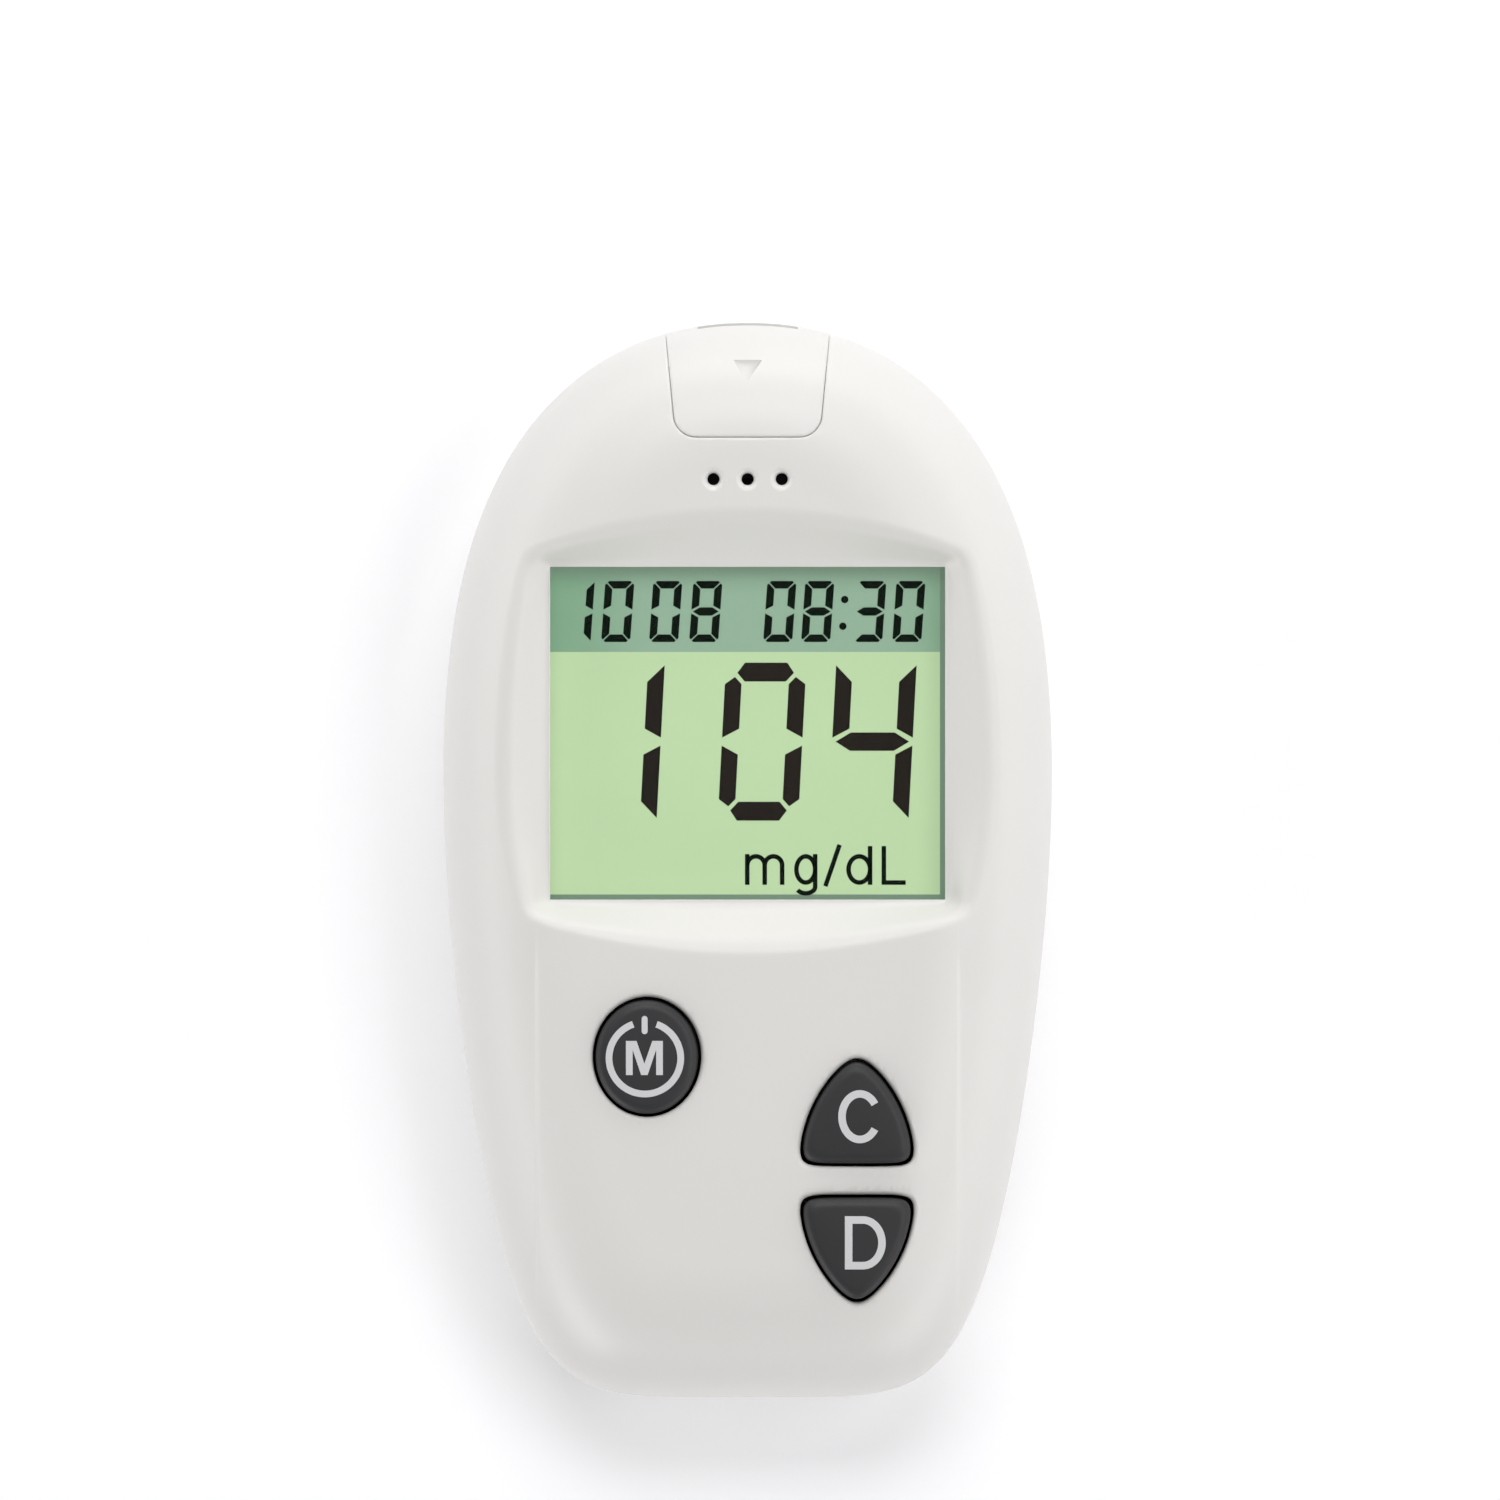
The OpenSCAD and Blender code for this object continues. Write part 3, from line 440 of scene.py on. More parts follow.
def front_rings(shape):
    """Section of the front cover, from under the window out to the rim and back over the face"""
    out_in = [shape.window_ring(0), shape.scaled(shape.outline, shape.wall)]
    lip_top = shape.parting_height + shape.lip_height + 0.15
    lip_inset = shape.wall / 2 - 0.05
    rim_way = shape.rim + shape.ways * 1.3
    dish_top = shape.front_height(rim_way) - shape.wall / 2
    reach = np.linalg.norm(out_in[1] - out_in[0], axis=1)
    foot_reach = np.linalg.norm(shape.window_ring(shape.recess_ledge + 1.6) - out_in[0], axis=1)
    dish_reach = np.linalg.norm(rim_way - out_in[0], axis=1)
    dish_run = np.maximum(dish_reach - foot_reach, 0.8)
    rings = []
    for t in np.linspace(0, 1, 32):
        share = 1 - (1 - t) ** 2
        plan = out_in[0] + (out_in[1] - out_in[0]) * share
        climb = np.clip((reach * share - foot_reach) / dish_run, 0, None)
        dish = shape.flange_z + (dish_top - shape.flange_z) * climb
        inner = np.maximum(shape.front_z(shape.inset_at(plan), shape.wall), lip_top)
        rings.append(ring(plan, np.minimum(dish, inner)))
    joint = [(lip_inset, lip_top), (lip_inset, shape.parting_height), (shape.groove, shape.parting_height),
             (0, shape.parting_height + shape.groove)]
    rings += [shape.level(inset, z) for inset, z in joint]
    shoulder = 3.6
    for t in np.linspace(0, 1, 25)[1:]:
        inset = shoulder * t * t
        rings.append(shape.level(inset, shape.front_z(inset)))
    start = shape.scaled(shape.outline, shoulder)
    end = shape.rim + shape.ways * shape.rim_round
    for t in np.linspace(0, 1, 60)[1:]:
        plan = start + (end - start) * t
        rings.append(ring(plan, shape.front_height(plan)))
    return rings + recess_rings(shape, rings[-1])


def recess_rings(shape, last):
    """The recess from its rounded rim down to the window's lower edge"""
    foot = ring(shape.soft_window(shape.recess_ledge, 1.1), shape.window_z)
    rim = ring(shape.rim, shape.front_height(shape.rim))
    width = np.linalg.norm((rim - foot)[:, :2], axis=1)
    hollow = np.interp(shape.ways[:, 1], [0, 0.6], [0.08, 0.16])

    def slope(share):
        """Ring on the slope, 0 at its foot and 1 at the rim, for one share or a share for each ray"""
        share = np.broadcast_to(share, len(foot))
        height = share - hollow * share * (1 - share)
        plan = foot[:, :2] + (rim - foot)[:, :2] * share[:, None]
        return ring(plan, shape.window_z + (rim[:, 2] - shape.window_z) * height)
    foot_round = 0.5
    upper = 1 - np.minimum(shape.rim_round / width, 0.45)
    lower = np.minimum(foot_round / width, 0.3)
    made = bend(last, rim, slope(upper), 9)
    made += [slope(upper + (lower - upper) * t) for t in np.linspace(0, 1, 14)]
    brink = 0.08
    ledge = ring(shape.window_ring(brink + 0.03), shape.window_z)
    made += bend(made[-1], foot, ledge, 5) + [ledge]
    over = ring(shape.window_ring(brink), shape.window_z)
    edge = ring(shape.window_ring(0), shape.window_z)
    down = ring(shape.window_ring(0), shape.window_z - brink)
    return made + [over] + bend(over, edge, down, 3) + [down]


def cut_creases(piece, shape):
    """Lowers the flanks outside two straight creases that run down from the recess's lower corners"""
    edges = [shape.crease_aside + step for step in (-0.2, -0.12, -0.04, 0.04, 0.12, 0.2)]
    made = bmesh.new()
    made.from_mesh(piece.data)
    for aside in edges + [-edge for edge in edges]:
        everything = made.verts[:] + made.edges[:] + made.faces[:]
        bmesh.ops.bisect_plane(
            made, geom=everything, dist=1e-7, plane_co=(aside * MM, 0, 0), plane_no=(1, 0, 0))
    points = np.array([v.co for v in made.verts]) / MM
    plan = points[:, :2]
    inset = shape.inset_at(plan)
    on_face = points[:, 2] > shape.front_z(inset) - 0.4
    across = smooth_step(np.abs(plan[:, 0]), edges[0], edges[-1])
    along = smooth_step(plan[:, 1], -40.5, -35) * smooth_step(-plan[:, 1], 4.5, 13)
    fade = smooth_step(inset, 0.3, 3)
    drop = np.where(on_face, shape.crease_step * across * along * fade, 0)
    for vert, by in zip(made.verts, drop):
        vert.co.z -= by * MM
    made.to_mesh(piece.data)
    made.free()


def rounded_cutter(shape, name, outline, bottom, rounding, least=0):
    """Cutter through the face that leaves a rounded edge, nowhere lower than least. outline(grow) gives
    its plan, wider for a hole and narrower for a piece that is cut out."""
    rings = [ring(outline(0), bottom)]
    for turn in np.radians([0, 20, 40, 60, 75]):
        plan = outline(rounding * (1 - math.cos(turn)))
        edge = shape.front_height(plan) - rounding * (1 - math.sin(turn))
        rings.append(ring(plan, np.maximum(edge, least + 0.01 * turn)))
    over = outline(rounding + 0.1)
    rings.append(ring(over, np.maximum(shape.front_height(over) + 0.07, least + 0.04)))
    rings.append(ring(over, shape.face_height + 1))
    return loft(name, rings)


def port_outline(shape, grow, count=24):
    """Plan of the port cover, grown by a gap, with points close enough to follow the face"""
    inner, outer, corner = 6.1 + grow, 6.95 + grow, 1.8 + grow
    low, far = shape.node_box("strip_port_cover")[0][1] - grow, shape.half_l + 1
    right_corner = [[inner - corner + corner * math.sin(a), low + corner - corner * math.cos(a)]
                    for a in np.radians(np.linspace(0, 90, 9))]
    side = [[inner + (outer - inner) * t, low + corner + (far - low - corner) * t]
            for t in np.linspace(0, 1, 2 * count)[1:]]
    end = [[outer * (1 - 2 * t), far] for t in np.linspace(0, 1, count)[1:-1]]
    left = [[-x, y] for x, y in reversed(side)] + [[-x, y] for x, y in reversed(right_corner)]
    base = [[(inner - corner) * (2 * t - 1), low] for t in np.linspace(0, 1, count)[1:-1]]
    return np.array(right_corner + side + end + left + base)


def port_levels(shape):
    """Heights of the strip slot's floor and top and of the port cover's rails, from the socket's box"""
    socket_low, socket_high = shape.node_box("strip_connector")
    slot_bottom = socket_low[2] + 0.85
    slot_top = slot_bottom + (socket_high[2] - socket_low[2] - 1.9) + 0.3
    return slot_bottom, slot_top, slot_top + 1.05


def rib_under_face(shape, x0, x1, near, far, foot):
    """Wall along Y that ends half way into the face's wall"""
    along = np.linspace(near, far, 6)
    roof = shape.front_height(np.column_stack([np.full(6, x1), along])) - shape.wall * 0.6
    left = [[x0, y, foot] for y in along] + [[x0, y, z] for y, z in zip(along[::-1], roof[::-1])]
    right = [[x1, y, z] for _, y, z in left]
    n = len(left)
    faces = [tuple(range(n - 1, -1, -1)), tuple(range(n, 2 * n))]
    faces += [(j, (j + 1) % n, n + (j + 1) % n, n + j) for j in range(n)]
    return link("rib", left + right, faces)


def both(*pieces):
    """The pieces, each with its mirror image on the other side of the case's middle"""
    made = []
    for piece in pieces:
        mesh = piece.data.copy()
        mesh.transform(((-1, 0, 0, 0), (0, 1, 0, 0), (0, 0, 1, 0), (0, 0, 0, 1)))
        mesh.flip_normals()
        other = bpy.data.objects.new(piece.name, mesh)
        bpy.context.scene.collection.objects.link(other)
        made += [other, piece]
    return made


def front_solid(shape):
    piece = loft("front_shell", front_rings(shape), closed=True)
    cut_creases(piece, shape)
    return piece


def make_front_cover(shape):
    piece = front_solid(shape)
    slot_bottom, slot_top, rail_floor = port_levels(shape)
    port_gap, port_rounding = 0.12, 0.16
    sound_y, sound_pitch, sound_radius, sound_rounding = 31.8, 2.85, 0.5, 0.55
    rail_in, channel_in, channel_out, rail_thick, rail_long = 5.6, 7.12, 8.32, 0.8, 7.4
    near = shape.node_box("strip_port_cover")[0][1] - 1.2
    far = near + rail_long
    rib = rib_under_face(shape, channel_in, channel_out, near, far, rail_floor)
    rail = block((rail_in, near, rail_floor), (channel_out, far, rail_floor + rail_thick))
    combine(piece, "UNION", *both(rib, rail))
    cutters = []
    for kind, at in shape.key_at.items():
        cutters.append(rounded_cutter(
            shape, kind, lambda grow, kind=kind, at=at: shape.key_outline(kind, -grow) + at,
            shape.face_height - 6, shape.hole_round))
    for aside in (-sound_pitch, 0, sound_pitch):
        cutters.append(rounded_cutter(
            shape, "sound", lambda grow, aside=aside: circle(sound_radius + grow) + [aside, sound_y],
            shape.face_height - 4, sound_rounding))
    cutters.append(rounded_cutter(
        shape, "port", lambda grow: port_outline(shape, port_gap + grow), slot_top, port_rounding))
    end, slot_half, slot_reach = shape.half_l - shape.wall, 4.2, 3.6
    cutters.append(block(
        (-slot_half, end - slot_reach, slot_bottom), (slot_half, end + slot_reach, slot_top + 0.05)))
    combine(piece, "DIFFERENCE", *cutters)
    return dress(piece, moulded_abs(shape), "case", "front_cover", slot="white_abs")


def circle(radius, count=48):
    angles = np.linspace(0, 2 * math.pi, count, endpoint=False)
    return np.column_stack([np.cos(angles), np.sin(angles)]) * radius


def make_port_cover(shape):
    """The cover is cut from the same skin as the front cover, so its top runs on from the face"""
    piece = front_solid(shape)
    piece.name = "port_cover_shell"
    _, slot_top, rail_floor = port_levels(shape)
    rounding, seam = 0.18, 0.09
    combine(piece, "INTERSECT", rounded_cutter(
        shape, "port", lambda grow: port_outline(shape, seam - grow), slot_top + 0.05, rounding,
        slot_top + 0.06))
    tongue_half, web = 6.4, 0.8
    near = shape.node_box("strip_port_cover")[0][1] + 0.3
    far = shape.half_l - shape.wall - 0.4
    tongue_z = rail_floor + 0.8 + 0.1
    tongue = block((-tongue_half, near, tongue_z), (tongue_half, far, tongue_z + 1))
    rib_in, rib_out = tongue_half - 2 * web, tongue_half - web
    rib = rib_under_face(shape, rib_in, rib_out, near + 1, far - 1.5, tongue_z + 0.05)
    combine(piece, "UNION", *both(rib), tongue)
    combine(piece, "DIFFERENCE", arrow_cutter(shape))
    return dress(piece, moulded_abs(shape), "port_cover", "strip_port_cover", slot="white_abs")


def arrow_cutter(shape):
    """Small arrow sunk in the cover, with a floor that is deepest at the tip"""
    at = np.array([0, shape.half_l - 3.2])
    plan = np.array([[1.22, 0], [-1.22, 0], [0, -2.2]])
    base_depth, tip_depth = 0.1, 0.55
    floor = ring(plan * 0.84 - [0, 0.12], [-base_depth, -base_depth, -tip_depth])
    piece = loft("arrow", [floor, ring(plan, 0), ring(plan * 1.3, 1)])
    piece.data.transform(Matrix.Translation((0, at[1] * MM, shape.front_height(at[None])[0] * MM))
                         @ Matrix.Rotation(math.radians(-33), 4, "X"))
    return piece


# ---------- back cover and battery door ----------

def back_solid(shape, name, lip):
    """Lower half of the case, with or without the lip that centres the front cover"""
    rings = []
    for t in np.linspace(1, 0, 26)[:-1]:
        inset = shape.back_edge * t * t
        rings.append(shape.level(inset, shape.back_z(inset)))
    lip_top = shape.parting_height + shape.lip_height
    rings += [shape.level(0, shape.parting_height - shape.groove),
              shape.level(shape.groove, shape.parting_height)]
    if lip:
        rings += [shape.level(shape.wall / 2, shape.parting_height), shape.level(shape.wall / 2, lip_top)]
    rings.append(shape.level(shape.wall, lip_top if lip else shape.parting_height))
    for t in np.linspace(0, 1, 14)[1:]:
        inset = shape.wall + shape.back_edge * t * t
        rings.append(shape.level(inset, shape.back_z(inset, shape.wall)))
    return loft(name, rings)


# The battery door in millimetres: half its width, its upper end, its side tongues' reach and its gap
DOOR_HALF, DOOR_Y, DOOR_REACH, DOOR_GAP = 12.2, -6.5, 13.3, 0.15


def tongue_levels(shape):
    """End of the door's side tongues along Y, and their lower and upper faces"""
    return -shape.half_l + 6, shape.wall + 0.2, shape.wall + 1.0


def make_back_cover(shape):
    piece = back_solid(shape, "back_shell", True)
    end, low, high = tongue_levels(shape)
    opening = DOOR_HALF + DOOR_GAP
    combine(piece, "DIFFERENCE", block(
        (-opening, -shape.half_l - 5, -1), (opening, DOOR_Y + DOOR_GAP, shape.parting_height + 2)))
    rail = block((opening - OVERLAP, end, 1), (DOOR_REACH + 1.1, DOOR_Y, high + 0.8))
    screws = screw_places(shape)
    board_bottom = shape.node_box("circuit_board")[0][2]
    bosses = [post(at, [(2.9, shape.wall - 0.3), (2.9, board_bottom - 0.05)]) for at in screws]
    combine(piece, "UNION", *both(rail), *bosses)
    groove = block((opening - 1, -shape.half_l - 1, low - 0.1), (DOOR_REACH + 0.15, DOOR_Y - 1, high + 0.1))
    well = [(2.45, -1), (2.45, 0), (2.2, 0.22), (2.2, 1.95), (1.1, 1.951), (1.1, board_bottom + 1)]
    holes = [post(at, well) for at in screws]
    combine(piece, "DIFFERENCE", *both(groove), *holes)
    return dress(piece, moulded_abs(shape), "case", "back_cover", slot="white_abs")


def screw_places(shape):
    low, high = shape.node_box("case_screws")
    head = 1.9
    places = [np.array([float(shape.half_width(y)) - 7.1, y]) for y in (high[1] - head, low[1] + head)]
    return places + [place * [-1, 1] for place in places]


def make_battery_door(shape):
    piece = back_solid(shape, "door_shell", False)
    end, low, high = tongue_levels(shape)
    coin_low, coin_high = shape.node_box("coin_cell")
    coin_y = (coin_low + coin_high)[1] / 2
    combine(piece, "INTERSECT", block(
        (-DOOR_HALF, -shape.half_l - 5, -1), (DOOR_HALF, DOOR_Y, shape.parting_height - 0.05)))
    run, foot, hook_half = DOOR_Y - 1.5, 0.9, 4
    rib = block((DOOR_HALF - 0.8, end, foot), (DOOR_HALF - OVERLAP, run, high))
    tongue = block((DOOR_HALF - 0.4, end, low), (DOOR_REACH, run, high - OVERLAP))
    pad = block((4.6, coin_y - 7, foot), (5.5, coin_y + 7, coin_low[2] - 0.1))
    hook = block((-hook_half, DOOR_Y - 3.2, shape.wall + 0.1), (hook_half, DOOR_Y + 1.2, shape.wall + 0.9))
    root_half = hook_half - OVERLAP
    root = block((-root_half, DOOR_Y - 2.7, foot), (root_half, DOOR_Y - 1.1, shape.wall + 0.5))
    combine(piece, "UNION", *both(rib, tongue, pad), root, hook)
    grips = []
    for i in range(5):
        y, wide = DOOR_Y - 4.5 - 1.6 * i, 6.5 - 0.8 * i
        plan = np.array([[-wide, y - 0.35], [wide, y - 0.35], [wide, y + 0.35], [-wide, y + 0.35]])
        middle = np.array([0, y])
        inner = middle + (plan - middle) * [1 - 0.2 / wide, 0.45]
        grips.append(loft("grip", [ring(middle + (plan - middle) * [1, 1.4], -0.15), ring(inner, 0.35)]))
    combine(piece, "DIFFERENCE", *grips)
    return dress(piece, moulded_abs(shape), "door", "battery_door", slot="white_abs")


# ---------- keys and their print ----------

def key_surface(shape, kind, plan):
    """Height of a key's gently domed top over points about its middle"""
    reach = np.linalg.norm(plan, axis=1)
    ways = plan / np.maximum(reach, 1e-6)[:, None]
    share = reach / shape.key_reach(kind, ways, shape.gap + shape.edge)
    return shape.key_top - shape.ink - 0.01 - shape.dome * share ** 2


def make_key(shape, kind, name, body, node):
    at = shape.key_at[kind]
    stem, skirt_z, edge_drop = 1.5, shape.key_top - 3.9, 0.675
    shoulder = shape.key_outline(kind, shape.gap + shape.edge)
    crest = float(key_surface(shape, kind, shoulder)[0])
    rings = [ring(shape.key_outline(kind, stem), shape.key_foot),
             ring(shape.key_outline(kind, stem), skirt_z), ring(shape.key_outline(kind, shape.gap), skirt_z)]
    for turn in np.linspace(0, math.pi / 2, 12):
        inset = shape.gap + shape.edge * (1 - math.cos(turn))
        drop = edge_drop * (1 - math.sin(turn))
        rings.append(ring(shape.key_outline(kind, inset), crest - drop))
    for share in (0.93, 0.85, 0.7, 0.5, 0.3, 0.12):
        rings.append(ring(shoulder * share, key_surface(shape, kind, shoulder * share)))
    piece = loft(name, [r + [at[0], at[1], 0] for r in rings])
    return dress(piece, moulded_silicone(shape), body, node, slot="key_rubber", sharp=40)


def mitres(path, closed):
    """Sideways steps along a path, longer at its corners so that a ribbon keeps its width"""
    way = np.roll(path, -1, 0) - path
    way /= np.linalg.norm(way, axis=1, keepdims=True)
    before = np.roll(way, 1, 0)
    if not closed:
        way[-1] = before[-1]
        before[0] = way[0]
    left, left_before = way[:, ::-1] * [-1, 1], before[:, ::-1] * [-1, 1]
    return (left + left_before) / (1 + (left * left_before).sum(1, keepdims=True))


def ribbon(path, width, closed=False):
    """Flat shape that follows a path, as points and faces in plan"""
    path = np.asarray(path, float)
    step = mitres(path, closed) * width / 2
    n = len(path)
    points = np.vstack([path - step, path + step])
    faces = [(j, (j + 1) % n, n + (j + 1) % n, n + j) for j in range(n if closed else n - 1)]
    return points, faces


def plate(outline):
    """Flat shape inside an outline"""
    return np.asarray(outline, float), [tuple(range(len(outline)))]


def arc(centre, radii, start, end, count=40):
    """Points on an ellipse from one angle to another, in degrees"""
    angles = np.radians(np.linspace(start, end, count))
    return np.column_stack([centre[0] + radii[0] * np.cos(angles), centre[1] + radii[1] * np.sin(angles)])


def print_on(name, shapes, surface, thickness):
    """One thin solid for all shapes, lying on surface(plan)"""
    points, faces, start = [], [], 0
    for plan, tops in shapes:
        n = len(plan)
        z = surface(plan)
        points += [ring(plan, z), ring(plan, z - thickness)]
        faces += [tuple(start + i for i in face) for face in tops]
        faces += [tuple(start + n + i for i in reversed(face)) for face in tops]
        borders = {}
        for face in tops:
            for a, b in zip(face, face[1:] + face[:1]):
                borders[(a, b)] = (b, a) not in borders
                if (b, a) in borders:
                    borders[(b, a)] = False
        faces += [(start + b, start + a, start + n + a, start + n + b)
                  for (a, b), free in borders.items() if free]
        start += 2 * n
    return link(name, np.vstack(points), faces)


def power_and_m():
    """Broken ring with a bar at its top, and a bold M inside"""
    ring_at, ring_r, stroke = (-0.17, -0.10), 2.99, 0.56
    bar_at, bar_half, bar_top, bar_bottom = -0.19, 0.25, 3.42, 1.90
    bar = np.vstack([arc((bar_at, bar_top - bar_half), (bar_half, bar_half), 0, 180, 12),
                     arc((bar_at, bar_bottom + bar_half), (bar_half, bar_half), 180, 360, 12)])
    left, bottom, wide, high = -1.75, -1.51, 3.08, 2.85
    stem, cap, notch, foot = 0.56, 0.88, 0.95, 0.27
    half = [(0, 0), (0, high), (cap, high), (wide / 2, notch)]
    inner = [(stem, high - 0.75), (stem, 0)]
    m = half + [(wide - x, y) for x, y in reversed(half[:3])]
    m += [(wide - x, y) for x, y in reversed(inner)] + [(wide / 2 + foot, 0), (wide / 2 - foot, 0)] + inner
    return [ribbon(arc(ring_at, (ring_r, ring_r), 109, 431, 90), stroke), plate(bar),
            plate([(left + x, bottom + y) for x, y in m])]


def letter_c():
    return [ribbon(arc((0.24, -0.34), (1.49, 1.90), 33, 327, 60), 0.63)]


def letter_d():
    stroke, left, right, top, bottom = 0.63, -1.01, 2.40, 2.70, -1.74
    inset = stroke / 2
    middle, bow = (top + bottom) / 2, left + 1.5
    bowl = arc((bow, middle), (right - inset - bow, (top - bottom) / 2 - inset), -90, 90, 40)
    path = np.vstack([[(left, bottom + inset)], bowl, [(left, top - inset)]])
    stem = np.linspace((left + inset, bottom + stroke), (left + inset, top - stroke), 10)
    return [ribbon(path, stroke), ribbon(stem, stroke)]


def make_keys(shape):
    keys = [("oval", "memory", power_and_m()), ("up", "up", letter_c()), ("down", "down", letter_d())]
    for kind, word, legend in keys:
        body = word + "_key"
        make_key(shape, kind, word + "_cap", body, word + "_button")
        at = shape.key_at[kind]
        printed = print_on(word + "_legend", legend,
                           lambda plan, kind=kind: key_surface(shape, kind, plan) + shape.ink, 0.06)
        printed.data.transform(Matrix.Translation((at[0] * MM, at[1] * MM, 0)))
        dress(printed, printed_ink(shape), body, sharp=60)


# ---------- display ----------

SEGMENTS = {"0": "abcdef", "1": "bc", "3": "abcdg", "4": "bcfg", "8": "abcdefg"}


def digit(number, left, base, high, wide, stroke, slant, side, bar):
    """Seven-segment digit. side and bar are the corners of its two kinds of segments where they meet,
    in strokes in from the digit's side and down from its top."""
    lit = SEGMENTS[number]
    lone = [(0, 0.16), (1, 1.16)]
    across, middle = wide / stroke, high / 2 / stroke
    shapes = []
    for name, end, right, low in (("f", "a", 0, 0), ("b", "a", 1, 0), ("e", "d", 0, 1), ("c", "d", 1, 1)):
        if name in lit:
            corner = side if end in lit else lone
            shapes.append((corner + [(1, middle - 0.78), (0, middle - 0.24)], right, low))
    tip = [(1.1, middle + 0.55), (0.21, middle), (1.1, middle - 0.55)]
    for name, end, low in (("a", bar, 0), ("d", bar, 1), ("g", tip, 0)):
        if name in lit:
            shapes.append((end + [(across - x, down) for x, down in reversed(end)], 0, low))
    placed = []
    for points, right, low in shapes:
        plan = []
        for x, down in points:
            x, y = x * stroke, down * stroke if low else high - down * stroke
            x = wide - x if right else x
            plan.append((left + x + slant * y, base + y))
        turn = sum(a[0] * b[1] - b[0] * a[1] for a, b in zip(plan, plan[1:] + plan[:1]))
        placed.append(plate(plan if turn > 0 else plan[::-1]))
    return placed


def unit_label(left, base):
    """The unit mg/dL in thin sans letters, by pen strokes"""
    pen, x_high, cap_high = 0.38, 2.57, 3.24
    i = pen / 2
    m_wide, arch = 1.46, 0.75
    strokes = [[(i, 0), (i, x_high)]]
    for n in (0, 1):
        x0 = i + n * m_wide
        curve = arc((x0 + m_wide / 2, x_high - i - arch), (m_wide / 2, arch), 175, 0, 20)
        strokes.append(np.vstack([curve, [(x0 + m_wide, 0)]]))
    g_at, g_wide = 4.11, 1.95
    bowl = (g_wide - pen) / 2
    strokes.append(("ring", arc((g_at + i + bowl, x_high / 2), (bowl, x_high / 2 - i), 0, 360, 41)[:-1]))
    g_x = g_at + g_wide - i
    hook = arc((g_at + i + bowl, -0.16), (bowl, 0.55), 0, -150, 24)
    strokes.append(np.vstack([[(g_x, x_high)], hook]))
    strokes.append([(6.72, -0.12), (7.91, 3.35)])
    d_at, d_wide = 8.47, 2.18
    bowl = (d_wide - pen) / 2
    strokes.append(("ring", arc((d_at + i + bowl, x_high / 2), (bowl, x_high / 2 - i), 0, 360, 41)[:-1]))
    strokes.append([(d_at + d_wide - i, 0), (d_at + d_wide - i, cap_high)])
    l_at = 11.42
    strokes.append([(l_at + i, cap_high), (l_at + i, i), (l_at + 2.02, i)])
    shapes = []
    for stroke in strokes:
        closed = isinstance(stroke, tuple)
        path = np.asarray(stroke[1] if closed else stroke, float)
        shapes.append(ribbon(path + [left, base], pen, closed))
    return shapes


def make_display(shape):
    paint("lcd_polarizer", material_of("polarizing_film", polarizing_film, shape))
    acrylic = material_of("clear_acrylic", clear_acrylic)
    acrylic.surface_render_method = "BLENDED"
    paint("display_lens", acrylic)
    finish = shape.scene.meter_finish
    big = {"base": 3.30, "high": shape.big_digit, "wide": 6.73, "stroke": 1.39, "slant": 0.0524,
           "side": [(0, 1.29), (0.59, 0.86), (1, 1.29)], "bar": [(1.18, 1.13), (0.72, 0.61), (1.15, 0)]}
    small = {"base": 18.23, "high": shape.small_digit, "wide": 2.43, "stroke": 0.63, "slant": 0.07,
             "side": [(0, 0.5), (0.22, 0.33), (1, 1.1)], "bar": [(1.1, 1), (0.33, 0.22), (0.5, 0)]}
    reading, date = [], []
    for number, left in (("1", -14.34), ("0", -2.50), ("4", 6.72)):
        reading += digit(number, left, **big)
    for number, left in (("1", -15.56), ("0", -12.25), ("0", -8.24), ("8", -4.89),
                         ("0", 1.30), ("8", 4.47), ("3", 8.82), ("0", 12.09)):
        date += digit(number, left, **small)
    date += [plate(circle(0.31, 20) + at) for at in ((8.12, 21.78), (7.96, 19.55))]
    date += unit_label(-0.22, -2.07)
    for name, shapes, ink in (("display_reading", reading, finish.reading),
                              ("display_date", date, finish.date)):
        piece = print_on(name, shapes, lambda plan: np.full(len(plan), shape.cell_z + 0.02), 0.015)
        dress(piece, segment_ink(name, ink), "case", sharp=60)


# ---------- finishes ----------

def add_node(tree, kind, inputs=None, **settings):
    """One node with its settings. An input is given a value or another node's output."""
    made = tree.nodes.new(kind)
    for name, value in settings.items():
        setattr(made, name, value)
    for key, value in (inputs or {}).items():
        if isinstance(value, bpy.types.NodeSocket):
            tree.links.new(value, made.inputs[key])
        else:
            made.inputs[key].default_value = value
    return made


def material_of(name, build, *values):
    """Material whose shader build(tree, coords, *values) makes, or the one made before"""
    if name in bpy.data.materials:
        return bpy.data.materials[name]
    material = bpy.data.materials.new(name)
    material.use_nodes = True
    tree = material.node_tree
    tree.nodes.clear()
    coords = add_node(tree, "ShaderNodeTexCoord").outputs["Object"]
    shader = build(tree, coords, *values)
    add_node(tree, "ShaderNodeOutputMaterial", {"Surface": shader.outputs[0]})
    return material


def per_mm(size_mm):
    """Texture scale that gives a pattern of this size in millimetres"""
    return 1 / (size_mm * MM)


def cloud(tree, coords, size_mm, detail):
    """Noise in patches of the given size"""
    return add_node(tree, "ShaderNodeTexNoise", {
        "Vector": coords, "Scale": per_mm(size_mm), "Detail": detail}).outputs["Fac"]


def mix(tree, share, low, high, **settings):
    """Colour between two others"""
    return add_node(tree, "ShaderNodeMix", {
        "Factor": share, "A": low, "B": high}, data_type="RGBA", **settings).outputs["Result"]


def spread(tree, value, low, high, start=0.0, end=1.0, **settings):
    """Value that goes from low to high while another goes from start to end"""
    return add_node(tree, "ShaderNodeMapRange", {
        "Value": value, "From Min": start, "From Max": end, "To Min": low, "To Max": high},
        **settings).outputs["Result"]


